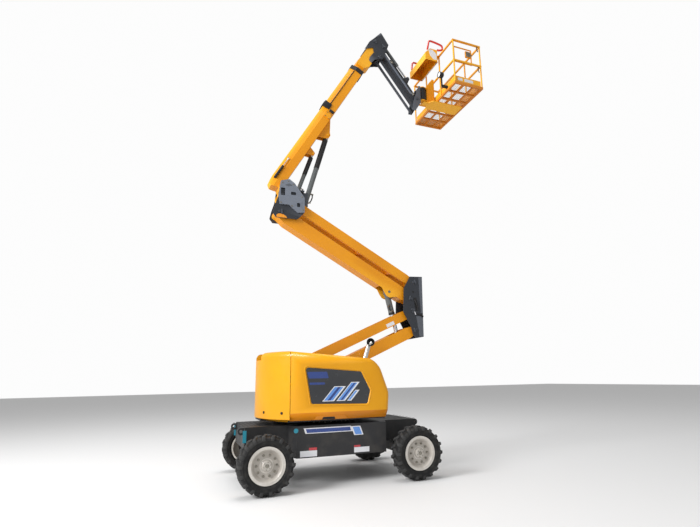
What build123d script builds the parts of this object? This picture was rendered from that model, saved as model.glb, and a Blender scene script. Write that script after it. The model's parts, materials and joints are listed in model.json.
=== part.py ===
from build123d import *
import os
from math import atan2, cos, degrees, hypot, radians, sin

os.makedirs("parts", exist_ok=True)

# Articulating boom lift on four wheels, in millimetres.
# Origin: on the ground under the slew axis.  +X towards the work platform, +Z up.
# The steered axle is at the -X end, under the counterweight.

# ---------------------------------------------------------------- driving sizes
tyre_d = 855.0
tyre_w = 305.0
lug_depth = 24.0
lug_count = 16            # on each half of the tread
wheelbase = 2500.0
overall_w = 2490.0
rim_flange_d = 540.0
rim_seat_d = 508.0
rim_w = 262.0
bead_gap = 0.3            # air between a curved seat and what sits on it
seat_gap = 0.3            # air between a flat seat and what sits on it
swing_gap = 5.0           # side air of an arm between its plates

chassis_top = 920.0
chassis_bottom = 435.0
chassis_half_w = 843.0
chassis_mid_front = 810.0
chassis_mid_back = 720.0
chassis_len = 3000.0
chassis_end_half_w = 590.0
chassis_end_bottom = 585.0
chassis_wall = 14.0
chassis_deck_t = 20.0
axle_bed_len = 340.0
axle_bed_t = 40.0
lug_hole_r = 25.0
lug_t = 30.0
lug_y = 470.0

slew_ring_h = 65.0
slew_ring_r = 430.0
slew_bore_r = 330.0

deck_t = 30.0             # turntable floor plate
tail_r = 1255.0
tail_depth = 393.0        # from the seam with the covers back to the tail's curve
tail_wall_t = 45.0
hood_tuck = 45.0          # the hood's lower edge leans in by this much
hood_tuck_h = 120.0
cover_half_w = 920.0
cover_top = 2105.0
cover_wall = 10.0
slot_half_w = 360.0       # half the width of the slot that the risers fold into
tail_slot_half_w = 270.0

plate_in = 170.0          # inner face of the pairs of carrying plates
plate_t = 20.0
pin_r = 30.0
pin_play = 0.1
boss_r = 75.0

arm_w = 260.0             # width of the closed arms
arm_wall = 8.0
lower_rail_in = 75.0      # the links are pairs of rails, so that the cylinders pass between
lower_rail_out = 112.0
upper_rail_in = 92.0
upper_rail_out = 140.0

lower_angle = 24.5        # rise of the lower riser towards +X
upper_angle = 29.6        # rise of the upper riser towards -X
riser_len = 3100.0
lower_arm_h = 225.0
lower_link_h = 185.0
upper_arm_h = 250.0
upper_link_h = 180.0

boom_angle = 59.5
boom_outer_len = 3350.0
boom_outer_h = 275.0
boom_outer_w = 250.0
boom_inner_h = 215.0
boom_inner_w = 190.0
boom_wall = 8.0

jib_angle = -52.5
jib_len = 1350.0
jib_arm_h = 130.0
jib_arm_w = 116.0
jib_wall = 6.0

platform_len = 1830.0     # across the machine
platform_w = 720.0
rail_h = 1080.0
toe_h = 150.0
tube_r = 17.0


# ---------------------------------------------------------------- places
def along(start, angle, distance, square=0.0):
    """A point in the XZ plane: some distance along a direction, and square to it."""
    a = radians(angle)
    return (start[0] + distance * cos(a) - square * sin(a),
            start[1] + distance * sin(a) + square * cos(a))


def shifted(start, step):
    return (start[0] + step[0], start[1] + step[1])


wheel_x = wheelbase / 2
wheel_y = (overall_w - tyre_w) / 2
wheel_z = tyre_d / 2

table_pin_low = (-1006.0, 1294.0)                      # lower arm on the turntable
link_step_low = (-60.0, 350.0)                         # from an arm pin up to its link pin
table_pin_high = shifted(table_pin_low, link_step_low)
mid_pin_a = along(table_pin_low, lower_angle, riser_len)
mid_pin_b = shifted(mid_pin_a, link_step_low)
mid_step = (-80.0, 610.0)                              # lower arm pin to upper arm pin
mid_pin_c = shifted(mid_pin_a, mid_step)
link_step_high = (45.0, 335.0)
mid_pin_d = shifted(mid_pin_c, link_step_high)
top_pin_c = along(mid_pin_c, 180 - upper_angle, riser_len)
top_pin_d = shifted(top_pin_c, link_step_high)
boom_pin = shifted(top_pin_c, (60.0, 519.0))
lift_base = shifted(top_pin_c, (515.0, 205.0))
level_base = shifted(top_pin_c, (340.0, 379.0))
lift_top = along(boom_pin, boom_angle, 1560.0, -135.0)
level_top = along(boom_pin, boom_angle, 1010.0, -110.0)
riser_cyl_base = shifted(mid_pin_c, (-465.0, 130.0))   # on the upper arm
riser_cyl_eye = shifted(mid_pin_a, (-335.0, -138.0))   # in the lower arm
boom_mid = boom_outer_h / 2
tip_pin = along(boom_pin, boom_angle, 4200.0, boom_mid)
jib_pin = shifted(tip_pin, (165.0, -80.0))
jib_link_step = (-80.0, -240.0)
jib_link_pin = shifted(jib_pin, jib_link_step)
jib_end_pin = along(jib_pin, jib_angle, jib_len)
jib_link_end = shifted(jib_end_pin, jib_link_step)
jib_cyl_base = shifted(jib_pin, (50.0, 185.0))
jib_cyl_eye = along(jib_pin, jib_angle, 826.0, 169.0)
rotator_x = jib_end_pin[0] + 193.0
platform_x = rotator_x + 660.0
platform_z = jib_end_pin[1] + 21.0
table_z = chassis_top + slew_ring_h + seat_gap


# ---------------------------------------------------------------- small helpers
def side_plane(point, angle=0.0, y=0.0):
    """Working plane seen from the -Y side: local x along the angle, local y square to it."""
    a = radians(angle)
    return Plane(origin=(point[0], y, point[1]), x_dir=(cos(a), 0, sin(a)), z_dir=(0, -1, 0))


def aim(start, end):
    return degrees(atan2(end[1] - start[1], end[0] - start[0]))


def distance(start, end):
    return hypot(end[0] - start[0], end[1] - start[1])


def save(part, name):
    part.label = name
    export_step(part, f"parts/{name}.step")


world_side = side_plane((0.0, 0.0))


# ---------------------------------------------------------------- chassis
end_x = chassis_len / 2
shoulder = 90.0
front_wall_x = chassis_mid_front + shoulder
back_wall_x = -chassis_mid_back - shoulder
chassis_half_plan = [
    # the left half, from the front end to the back end
    (end_x, chassis_end_half_w), (front_wall_x, chassis_end_half_w), (chassis_mid_front, chassis_half_w),
    (-chassis_mid_back, chassis_half_w), (back_wall_x, chassis_end_half_w), (-end_x, chassis_end_half_w),
]
chassis_plan = chassis_half_plan + [(x, -y) for x, y in reversed(chassis_half_plan)]
lug_x = end_x + 45.0
lug_z = chassis_top - 65.0
with BuildPart() as chassis:
    with BuildSketch(Plane.XY.offset(chassis_bottom)):
        with BuildLine():
            Polyline(*chassis_plan, close=True)
        make_face()
    extrude(amount=chassis_top - chassis_bottom)
    with BuildSketch(Plane.XY.offset(chassis_bottom)):
        with BuildLine():
            Polyline(*chassis_plan, close=True)
        make_face()
        offset(amount=-chassis_wall, kind=Kind.INTERSECTION)
    extrude(amount=chassis_top - chassis_bottom - chassis_deck_t, mode=Mode.SUBTRACT)
    # the raised ends clear the axles
    for wall_x, end_wall_x in ((front_wall_x, end_x), (back_wall_x, -end_x)):
        with BuildSketch(Plane.XY.offset(chassis_bottom)):
            with Locations(((wall_x + end_wall_x) / 2, 0)):
                Rectangle(abs(end_wall_x - wall_x), 2 * chassis_end_half_w)
        extrude(amount=chassis_end_bottom - chassis_bottom, mode=Mode.SUBTRACT)
    # beds that the axles carry
    for end in (-1, 1):
        with BuildSketch(Plane.XY.offset(chassis_end_bottom)):
            with Locations((end * wheelbase / 2, 0)):
                Rectangle(axle_bed_len, 2 * chassis_end_half_w - chassis_wall)
        extrude(amount=axle_bed_t)
    # cross walls either side of the slew bearing
    for x in (back_wall_x, -slew_ring_r, slew_ring_r, front_wall_x):
        with BuildSketch(Plane.XY.offset(chassis_bottom)):
            with Locations((x - chassis_wall / 2 * (1 if x > 0 else -1), 0)):
                Rectangle(chassis_wall, 2 * chassis_end_half_w - chassis_wall)
        extrude(amount=chassis_top - chassis_bottom - chassis_deck_t / 2)
    # tie-down lugs at the four corners
    for end in (-1, 1):
        for side in (-1, 1):
            with BuildSketch(side_plane((end * lug_x, lug_z), 0, side * lug_y)):
                with Locations((-end * 45, 0)):
                    Rectangle(90, 110)
                Circle(55)
                Circle(lug_hole_r, mode=Mode.SUBTRACT)
            extrude(amount=lug_t / 2, both=True)
save(chassis.part, "chassis_frame")

with BuildPart() as slew_ring:
    with BuildSketch(Plane.XY.offset(chassis_top)):
        Circle(slew_ring_r)
        Circle(slew_bore_r, mode=Mode.SUBTRACT)
    extrude(amount=slew_ring_h)
save(slew_ring.part, "slew_ring")

# ---------------------------------------------------------------- wheels, axles and steering
rim_out = rim_w / 2
flange_t = 12.0
disc_y = 70.0            # disc plane outboard of the wheel's middle
disc_t = 14.0
hub_r = 118.0
hub_face = disc_y - disc_t / 2 - seat_gap
rim_seat_r = rim_seat_d / 2
rim_inner_r = rim_seat_r - 12.0
cap_r = 82.0
cap_out = 52.0
carcass_r = tyre_d / 2 - lug_depth
shoulder_drop = 50.0
shoulder_w = 42.0
bead_y = rim_out - flange_t - bead_gap
bead_r = rim_flange_d / 2 + 6
bead_rise = 36.0
rim_profile = [
    # radius, offset across the wheel; outboard side first
    (rim_flange_d / 2, rim_out), (rim_flange_d / 2, rim_out - flange_t),
    (rim_seat_r, rim_out - flange_t), (rim_seat_r, -rim_out + flange_t),
    (rim_flange_d / 2, -rim_out + flange_t), (rim_flange_d / 2, -rim_out),
    (rim_inner_r, -rim_out), (rim_inner_r, disc_y - disc_t / 2),
    (0, disc_y - disc_t / 2), (0, disc_y + disc_t / 2 + cap_out),
    (cap_r - 22, disc_y + disc_t / 2 + cap_out), (cap_r, disc_y + disc_t / 2 + cap_out - 22),
    (cap_r, disc_y + disc_t / 2), (rim_inner_r - 60, disc_y + disc_t / 2),
    (rim_inner_r - 12, rim_out),
]
wheels = [
    # name, end, side
    ("drive_left", 1, 1),
    ("drive_right", 1, -1),
    ("steer_left", -1, 1),
    ("steer_right", -1, -1),
]
# Each half of the carcass has a flat for each of its lugs, and the two halves are turned by half a
# flat.  A lug is a skewed bar that runs from the middle over the shoulder.
lug_root = 70.0           # how far in towards the axle a lug starts
lug_w = 46.0
lug_past_middle = 8.0
lug_end_y = tyre_w / 2 - 7.0
lug_skew = 22.0           # degrees, so that the lugs of the two halves make a chevron
lug_len = (lug_end_y + lug_past_middle - lug_w * sin(radians(lug_skew))) / cos(radians(lug_skew))
lug_corner = lug_len / 2 * sin(radians(lug_skew)) + lug_w / 2 * cos(radians(lug_skew))
lug_top_r = (tyre_d ** 2 / 4 - lug_corner ** 2) ** 0.5
lug_turn = 90 - degrees(atan2(lug_corner, lug_top_r)) - 180 / lug_count    # the tyre stands on a corner


def tyre_section(radius, y, turn):
    """A section of the tyre with a flat for each lug, square to its axle."""
    with BuildSketch(Plane(origin=(0, y, 0), x_dir=(1, 0, 0), z_dir=(0, 1, 0))) as section:
        RegularPolygon(radius, lug_count, major_radius=False, rotation=turn + 180 / lug_count)
    return section.sketch


with BuildPart() as tyre_form:
    for half in (-1, 1):
        turn = lug_turn + (half + 1) * 90 / lug_count
        add(tyre_section(carcass_r, 0, turn))
        add(tyre_section(carcass_r, half * (tyre_w / 2 - shoulder_w), turn))
        add(tyre_section(carcass_r - shoulder_drop, half * tyre_w / 2, turn))
        loft(ruled=True)
        lug_mid = half * (lug_end_y - lug_past_middle) / 2
        with Locations(Plane(origin=(0, lug_mid, 0), x_dir=(1, 0, 0), z_dir=(0, 1, 0))):
            with PolarLocations(lug_top_r - lug_root / 2, lug_count, start_angle=turn):
                Box(lug_root, lug_w, lug_len, rotation=(half * lug_skew, 0, 0))
    for half in (-1, 1):
        add(tyre_section(bead_r + bead_rise, half * tyre_w / 2, lug_turn))
        add(tyre_section(bead_r, half * bead_y, lug_turn))
        loft(ruled=True, mode=Mode.SUBTRACT)
    with BuildSketch(Plane(origin=(0, -tyre_w, 0), z_dir=(0, 1, 0))):
        Circle(rim_seat_r + bead_gap)
    extrude(amount=2 * tyre_w, mode=Mode.SUBTRACT)
for wheel_name, end, side in wheels:
    axis_plane = Plane(origin=(end * wheel_x, side * wheel_y, wheel_z), x_dir=(1, 0, 0), z_dir=(0, 0, 1))
    with BuildPart() as tyre:
        with Locations(Location((end * wheel_x, side * wheel_y, wheel_z), (0, 0, 90 + side * 90))):
            add(tyre_form.part)
    save(tyre.part, f"tyre_{wheel_name}")
    with BuildPart() as rim:
        with BuildSketch(axis_plane):
            with BuildLine():
                Polyline(*[(r, side * w) for r, w in rim_profile], close=True)
            make_face()
        revolve(axis=Axis((end * wheel_x, side * wheel_y, wheel_z), (0, 1, 0)))
    save(rim.part, f"rim_{wheel_name}")

beam_h = 150.0
beam_w = 120.0
inner_face = wheel_y - tyre_w / 2
hub_in = wheel_y - rim_out + 8.0
with BuildPart() as drive_axle:
    with BuildSketch(Plane.XZ.offset(-inner_face + 40)):
        with Locations((wheel_x, wheel_z)):
            Rectangle(beam_w, beam_h)
    extrude(amount=2 * (inner_face - 40))
    for side in (-1, 1):
        with BuildSketch(Plane(origin=(wheel_x, side * (inner_face - 60), wheel_z), z_dir=(0, side, 0))):
            Circle(hub_r)
        extrude(amount=wheel_y + hub_face - inner_face + 60)
        # saddle that carries the chassis
        with BuildSketch(side_plane((wheel_x, wheel_z), 0, side * 420.0)):
            with BuildLine():
                Polyline((-110, 0), (110, 0), (160, chassis_end_bottom - wheel_z - seat_gap),
                         (-160, chassis_end_bottom - wheel_z - seat_gap), close=True)
            make_face()
        extrude(amount=30, both=True)
save(drive_axle.part, "drive_axle")

kingpin_y = inner_face - 60.0
kingpin_r = 24.0
ear_r = 50.0
knuckle_h = 210.0
ear_t = 30.0
with BuildPart() as steer_axle:
    with BuildSketch(Plane.XZ.offset(-kingpin_y + 120)):
        with Locations((-wheel_x, wheel_z)):
            Rectangle(beam_w, beam_h)
    extrude(amount=2 * (kingpin_y - 120))
    for side in (-1, 1):
        for level in (-1, 1):
            ear_z = wheel_z + level * (knuckle_h / 2 + seat_gap * 3 + ear_t / 2)
            with BuildSketch(Plane.XY.offset(ear_z - ear_t / 2)):
                with Locations((-wheel_x, side * kingpin_y)):
                    Circle(ear_r)
                with Locations((-wheel_x, side * (kingpin_y - 90))):
                    Rectangle(2 * ear_r, 180)
            extrude(amount=ear_t)
        with BuildSketch(Plane.XY.offset(wheel_z - knuckle_h / 2 - ear_t)):
            with Locations((-wheel_x, side * (kingpin_y - 140))):
                Rectangle(2 * ear_r, 80)
        extrude(amount=knuckle_h + 2 * ear_t)
        with BuildSketch(Plane.XY.offset(wheel_z - knuckle_h / 2 - ear_t)):
            with Locations((-wheel_x, side * kingpin_y)):
                Circle(kingpin_r)
        extrude(amount=knuckle_h + 2 * ear_t)
    # rocking pivot block under the chassis
    with BuildSketch(side_plane((-wheel_x, wheel_z))):
        with BuildLine():
            Polyline((-100, 0), (100, 0), (130, chassis_end_bottom - wheel_z - seat_gap),
                     (-130, chassis_end_bottom - wheel_z - seat_gap), close=True)
        make_face()
    extrude(amount=110, both=True)
save(steer_axle.part, "steer_axle")

arm_reach = 170.0          # steering arm, from the kingpin towards +X
arm_t = 24.0
arm_z = wheel_z - knuckle_h / 2 + arm_t / 2
tie_pin_r = 14.0
tie_r = 18.0
tie_eye = 4.0              # how far the tie rod's end eyes stand past the rod
steer_cyl_r = 34.0
steer_rod_r = 18.0
steer_cyl_len = 330.0
steer_cyl_y = 135.0
steer_cyl_z = wheel_z + 20.0
steer_cyl_x = -wheel_x + arm_reach - 35.0
lug_push_y = -190.0
steer_rod_gap = 3.0
steer_rod_len = steer_cyl_y - lug_push_y - 15 + 160.0
for side, name in ((1, "left"), (-1, "right")):
    with BuildPart() as knuckle:
        with BuildSketch(Plane.XY.offset(wheel_z - knuckle_h / 2)):
            with Locations((-wheel_x, side * kingpin_y)):
                Circle(ear_r - 4)
                Circle(kingpin_r + pin_play, mode=Mode.SUBTRACT)
        extrude(amount=knuckle_h)
        with BuildSketch(Plane(origin=(-wheel_x, side * (kingpin_y + kingpin_r + 8), wheel_z),
                               z_dir=(0, side, 0))):
            Circle(70)
        extrude(amount=hub_in - kingpin_y)
        with BuildSketch(Plane(origin=(-wheel_x, side * hub_in, wheel_z), z_dir=(0, side, 0))):
            Circle(hub_r)
        extrude(amount=wheel_y + hub_face - hub_in)
        with BuildSketch(Plane.XY.offset(arm_z - arm_t / 2)):
            with BuildLine():
                Polyline((-wheel_x + kingpin_r + 8, side * (kingpin_y - 30)),
                         (-wheel_x + arm_reach, side * (kingpin_y - 28)),
                         (-wheel_x + arm_reach, side * (kingpin_y + 28)),
                         (-wheel_x + kingpin_r + 8, side * (kingpin_y + 36)), close=True)
            make_face()
            with Locations((-wheel_x + arm_reach, side * kingpin_y)):
                Circle(28)
                Circle(tie_pin_r + pin_play, mode=Mode.SUBTRACT)
        extrude(amount=arm_t)
    save(knuckle.part, f"steer_knuckle_{name}")

tie_z = arm_z - arm_t / 2 - seat_gap - tie_r - tie_eye
with BuildPart() as tie_rod:
    with BuildSketch(Plane(origin=(-wheel_x + arm_reach, -kingpin_y, tie_z), z_dir=(0, 1, 0))):
        Circle(tie_r)
    extrude(amount=2 * kingpin_y)
    for side in (-1, 1):
        with BuildSketch(Plane.XY.offset(tie_z - tie_r - tie_eye)):
            with Locations((-wheel_x + arm_reach, side * kingpin_y)):
                Circle(26)
        extrude(amount=2 * (tie_r + tie_eye))
        with BuildSketch(Plane.XY.offset(tie_z)):
            with Locations((-wheel_x + arm_reach, side * kingpin_y)):
                Circle(tie_pin_r)
        extrude(amount=tie_r + tie_eye + seat_gap + arm_t)
    # the lug that the steering cylinder's rod pushes
    with BuildSketch(Plane.XY.offset(tie_z)):
        with Locations((-wheel_x + arm_reach, lug_push_y)):
            Rectangle(2 * tie_r - 8, 30)
    extrude(amount=steer_cyl_z + steer_rod_r + 12 - tie_z)
save(tie_rod.part, "tie_rod")

# the steering cylinder lies on the axle's +X face
with BuildPart() as steer_cylinder:
    with BuildSketch(Plane(origin=(steer_cyl_x, steer_cyl_y, steer_cyl_z), z_dir=(0, 1, 0))):
        Circle(steer_cyl_r)
    extrude(amount=steer_cyl_len)
    for y in (steer_cyl_y + 40, steer_cyl_y + steer_cyl_len - 40):
        with BuildSketch(Plane(origin=(-wheel_x + beam_w / 2 + seat_gap, y, steer_cyl_z), z_dir=(1, 0, 0))):
            Rectangle(40, 70)
        extrude(amount=steer_cyl_x + wheel_x - beam_w / 2 - seat_gap)
    with BuildSketch(Plane(origin=(steer_cyl_x, steer_cyl_y - 1, steer_cyl_z), z_dir=(0, 1, 0))):
        Circle(steer_rod_r + bead_gap)
    extrude(amount=steer_cyl_len - 30, mode=Mode.SUBTRACT)
save(steer_cylinder.part, "steer_cylinder")

with BuildPart() as steer_rod:
    with BuildSketch(Plane(origin=(steer_cyl_x, lug_push_y + 15 + steer_rod_gap, steer_cyl_z), z_dir=(0, 1, 0))):
        Circle(steer_rod_r)
    extrude(amount=steer_rod_len)
    with BuildSketch(Plane(origin=(steer_cyl_x, lug_push_y + 15 + steer_rod_gap, steer_cyl_z), z_dir=(0, 1, 0))):
        Circle(steer_rod_r + 10)
    extrude(amount=22)
save(steer_rod.part, "steer_cylinder_rod")

# ---------------------------------------------------------------- turntable
deck_front = 800.0
cover_seam_x = -(tail_r - tail_depth)
cover_rear_x = cover_seam_x + 6.0
tail_wall_x = tail_r - tail_wall_t    # the slot stops this far behind the slew axis
tail_wall_top = 1980.0
hinge_r = 8.0
hinge_barrel_r = 15.0
cover_front_top = (566.0, 1985.0)
cover_rear_top = (cover_rear_x, 2100.0)
hinge_drop = 12.0
hinge_y = slot_half_w - 14.0
hinge_angle = aim(cover_rear_top, cover_front_top)
hinge_len = distance(cover_rear_top, cover_front_top)
hinge_start = along(cover_rear_top, hinge_angle, 0.0, -hinge_drop)
hinge_way = (cos(radians(hinge_angle)), 0, sin(radians(hinge_angle)))
post_w = 40.0
post_y = 335.0
deck_half_w = cover_half_w - hood_tuck - 35.0
tower_inner = plate_in
tower_outline = [
    # relative to the lower arm's pin
    (-185, table_z + deck_t - table_pin_low[1]), (620, table_z + deck_t - table_pin_low[1]),
    (300, 10), (90, 130), (40, 400), (-10, 440), (-110, 440), (-150, 400), (-185, 120),
]
with BuildPart() as turntable:
    with BuildSketch(Plane.XY.offset(table_z)):
        Circle(tail_r - 25)
        with Locations((cover_seam_x - 2 * tail_r, 0)):
            Rectangle(4 * tail_r, 4 * tail_r, mode=Mode.SUBTRACT)
        with Locations((deck_front + 2 * tail_r, 0)):
            Rectangle(4 * tail_r, 4 * tail_r, mode=Mode.SUBTRACT)
        Rectangle(4 * tail_r, 2 * deck_half_w, mode=Mode.INTERSECT)
        with Locations(((cover_seam_x - tail_wall_x) / 2, 0)):
            Rectangle(tail_wall_x + cover_seam_x - 1, 2 * tail_slot_half_w - 2)
    extrude(amount=deck_t)
    for side in (-1, 1):
        with BuildSketch(side_plane(table_pin_low, 0, side * (tower_inner + plate_t / 2))):
            with BuildLine():
                Polyline(*tower_outline, close=True)
            make_face()
        extrude(amount=plate_t / 2, both=True)
        # long floor stringers that stiffen the deck
        with BuildSketch(Plane.XY.offset(table_z + deck_t)):
            with Locations(((cover_seam_x + deck_front) / 2 + 140, side * (tower_inner + plate_t / 2))):
                Rectangle(deck_front - cover_seam_x - 320, plate_t)
        extrude(amount=110)
        # hinge bar of the cover, on three posts
        with BuildSketch(Plane(origin=(hinge_start[0], side * hinge_y, hinge_start[1]), z_dir=hinge_way)):
            Circle(hinge_r)
        extrude(amount=hinge_len)
        for share in (0.03, 0.62, 0.97):
            top = along(hinge_start, hinge_angle, hinge_len * share)
            with BuildSketch(Plane.XY.offset(table_z + deck_t / 2)):
                with Locations((top[0], side * post_y)):
                    Rectangle(post_w, post_w)
            extrude(amount=top[1] - table_z - deck_t / 2)
    for x, z in (table_pin_low, table_pin_high):
        with BuildSketch(side_plane((x, z))):
            Circle(pin_r)
        extrude(amount=tower_inner + plate_t + 8, both=True)
save(turntable.part, "turntable_frame")


tail_round = 90.0
with BuildPart() as tail:
    with BuildSketch(Plane.XY.offset(table_z)):
        Circle(tail_r)
        with Locations((cover_seam_x - 2 + 2 * tail_r, 0)):
            Rectangle(4 * tail_r, 4 * tail_r, mode=Mode.SUBTRACT)
        Rectangle(4 * tail_r, 2 * cover_half_w, mode=Mode.INTERSECT)
    extrude(amount=cover_top - table_z)
    top_rim = tail.faces().sort_by(Axis.Z)[-1].edges().sort_by(Axis.X)[:-1]
    fillet(top_rim, radius=tail_round)
    low_rim = tail.faces().sort_by(Axis.Z)[0].edges().sort_by(Axis.X)[:-1]
    chamfer(low_rim, length=hood_tuck_h, length2=hood_tuck, reference=tail.faces().sort_by(Axis.Z)[0])
    # the slot that the risers and the upper upright fold into, closed behind by a low wall
    with BuildSketch(Plane.XY.offset(table_z - 1)):
        with Locations((-tail_wall_x + 2 * tail_r, 0)):
            Rectangle(4 * tail_r, 2 * tail_slot_half_w)
    extrude(amount=cover_top, mode=Mode.SUBTRACT)
    with BuildSketch(Plane.XY.offset(tail_wall_top)):
        Rectangle(4 * tail_r, 2 * tail_slot_half_w)
    extrude(amount=cover_top, mode=Mode.SUBTRACT)
save(tail.part, "counterweight")

engine_len = 900.0
engine_w = 420.0
engine_h = 620.0
engine_x = -150.0
engine_y = -620.0
with BuildPart() as engine:
    with BuildSketch(Plane.XY.offset(table_z + deck_t)):
        with Locations((engine_x, engine_y)):
            Rectangle(engine_len, engine_w)
    extrude(amount=engine_h)
save(engine.part, "engine_block")

exhaust_r = 42.0
exhaust_y = -288.0
muffler_r = 70.0
muffler_top = 1560.0
with BuildPart() as exhaust:
    with BuildLine() as exhaust_line:
        FilletPolyline((640, exhaust_y, muffler_top - 60), (640, exhaust_y, 1930), (742, exhaust_y, 2240),
                       (742 + 60, exhaust_y - 30, 2300), radius=50)
    with BuildSketch(Plane(origin=(640, exhaust_y, muffler_top - 60), z_dir=(0, 0, 1))):
        Circle(exhaust_r)
    sweep()
    with BuildSketch(Plane.XY.offset(table_z + deck_t + seat_gap)):
        with Locations((640, exhaust_y)):
            Circle(muffler_r)
    extrude(amount=muffler_top - table_z - deck_t)
save(exhaust.part, "exhaust_pipe")

# covers: one each side, hinged along the top edge beside the slot
cover_low = 1006.0


def tuck_wedge(side, inset):
    """Corners, across and up, of what the hood's lean cuts off its lower edge."""
    y = side * (cover_half_w - inset)
    return [(y - side * hood_tuck, cover_low), (y, cover_low + hood_tuck_h), (y + side * 100, cover_low + hood_tuck_h),
            (y + side * 100, cover_low - 100), (y - side * hood_tuck, cover_low - 100)]


cover_outline = [
    (cover_rear_x, cover_low), (842, cover_low), (874, 1410), (716, 1846), cover_front_top, cover_rear_top,
]
cover_round = 60.0
window_outline = [
    (cover_rear_x + 238, 1838), (cover_rear_x + 341, 1259), (451, 1233), (505, 1452), (344, 1762),
]
window_t = 6.0
window_recess = 4.0
window_gap = 0.5
for side, name in ((1, "left"), (-1, "right")):
    outer_y = side * cover_half_w
    with BuildPart() as cover:
        with BuildSketch(side_plane((0, 0), 0, outer_y)):
            with BuildLine():
                Polyline(*cover_outline, close=True)
            make_face()
        extrude(amount=side * (cover_half_w - slot_half_w))
        outer_face = cover.faces().sort_by(Axis.Y)[-1 if side > 0 else 0]
        rim_edges = [e for e in outer_face.edges() if e.center().Z > cover_low + 1
                     and e.center().X > cover_rear_x + 1]
        fillet(rim_edges, radius=cover_round)
        with BuildSketch(Plane.YZ.offset(cover_rear_x - 50)):
            with BuildLine():
                Polyline(*tuck_wedge(side, 0), close=True)
            make_face()
        extrude(amount=4 * tail_r, mode=Mode.SUBTRACT)
        with BuildPart(mode=Mode.SUBTRACT):
            with BuildSketch(side_plane((0, 0), 0, outer_y - side * cover_wall)):
                with BuildLine():
                    Polyline(*cover_outline, close=True)
                make_face()
                offset(amount=-cover_wall, kind=Kind.INTERSECTION)
            extrude(amount=side * (cover_half_w - slot_half_w))
            inner_face = faces().sort_by(Axis.Y)[-1 if side > 0 else 0]
            inner_rim = [e for e in inner_face.edges() if e.center().Z > cover_low + cover_wall + 1
                         and e.center().X > cover_rear_x + cover_wall + 1]
            fillet(inner_rim, radius=cover_round - cover_wall)
            # the shell is open below and behind
            for axis in (Axis.Z, Axis.X):
                extrude(faces().sort_by(axis)[0], amount=2 * cover_wall)
            with BuildSketch(Plane.YZ.offset(cover_rear_x - 50)):
                with BuildLine():
                    Polyline(*tuck_wedge(side, cover_wall), close=True)
                make_face()
            extrude(amount=4 * tail_r, mode=Mode.SUBTRACT)
        with BuildSketch(side_plane((0, 0), 0, outer_y)):
            with BuildLine():
                Polyline(*window_outline, close=True)
            make_face()
            fillet(vertices(), radius=40)
        extrude(amount=side * 3 * cover_wall, both=True, mode=Mode.SUBTRACT)
        for share in (0.12, 0.5, 0.88):
            start = along(hinge_start, hinge_angle, hinge_len * share - 40)
            with BuildSketch(Plane(origin=(start[0], side * hinge_y, start[1]), z_dir=hinge_way)):
                Circle(hinge_barrel_r)
            extrude(amount=80)
            with BuildSketch(Plane(origin=(start[0], side * (hinge_y + 12), start[1]), x_dir=(0, 1, 0),
                                   z_dir=hinge_way)):
                Rectangle(24, 10)
            extrude(amount=80)
            with BuildSketch(Plane(origin=(start[0], side * hinge_y, start[1]), z_dir=hinge_way)):
                Circle(hinge_r + pin_play)
            extrude(amount=80, mode=Mode.SUBTRACT)
    save(cover.part, f"cover_{name}")
    with BuildPart() as window:
        with BuildSketch(side_plane((0, 0), 0, side * (cover_half_w - window_recess))):
            with BuildLine():
                Polyline(*window_outline, close=True)
            make_face()
            fillet(vertices(), radius=40)
            offset(amount=-window_gap)
        extrude(amount=side * window_t)
    save(window.part, f"cover_window_{name}")

# ---------------------------------------------------------------- risers
arm_boss_half = plate_in - swing_gap
arm_taper = 190.0


def member_outline(length, height, end_half):
    """Side outline of an arm that tapers towards the pins at both its ends."""
    half = height / 2
    return [(0, end_half), (arm_taper, half), (length - arm_taper, half), (length, end_half),
            (length, -end_half), (length - arm_taper, -half), (arm_taper, -half), (0, -end_half)]


rod_stub_r = 28.0
rod_eye_half = 50.0
rod_slot_front = 162.0
rod_slot_back = 198.0
lower_frame = side_plane(table_pin_low, lower_angle)
eye_u = riser_len - distance(mid_pin_a, riser_cyl_eye) * cos(radians(
    aim(riser_cyl_eye, mid_pin_a) - lower_angle))
eye_v = -distance(mid_pin_a, riser_cyl_eye) * sin(radians(aim(riser_cyl_eye, mid_pin_a) - lower_angle))
with BuildPart() as lower_arm:
    with BuildSketch(lower_frame):
        with BuildLine():
            Polyline(*member_outline(riser_len, lower_arm_h, boss_r), close=True)
        make_face()
        with Locations((0, 0), (riser_len, 0)):
            Circle(boss_r)
    extrude(amount=arm_w / 2, both=True)
    with BuildSketch(lower_frame):
        with BuildLine():
            Polyline(*member_outline(riser_len, lower_arm_h, boss_r), close=True)
        make_face()
        offset(amount=-arm_wall, kind=Kind.INTERSECTION)
        # the rod of the riser cylinder comes in through the open top
        with Locations((eye_u + (rod_slot_front - rod_slot_back) / 2, lower_arm_h / 2)):
            Rectangle(rod_slot_front + rod_slot_back, 4 * arm_wall)
    extrude(amount=arm_w / 2 - arm_wall, both=True, mode=Mode.SUBTRACT)
    with BuildSketch(lower_frame):
        with Locations((0, 0), (riser_len, 0)):
            Circle(boss_r)
    extrude(amount=arm_boss_half, both=True)
    with BuildSketch(lower_frame):
        with Locations((0, 0), (riser_len, 0)):
            Circle(pin_r + pin_play)
    extrude(amount=arm_w, both=True, mode=Mode.SUBTRACT)
    for side in (-1, 1):
        with BuildSketch(side_plane(riser_cyl_eye, 0, side * (arm_w / 2))):
            Circle(rod_stub_r)
        extrude(amount=side * (arm_w / 2 - rod_eye_half - swing_gap))
save(lower_arm.part, "riser_lower_arm")

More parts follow.
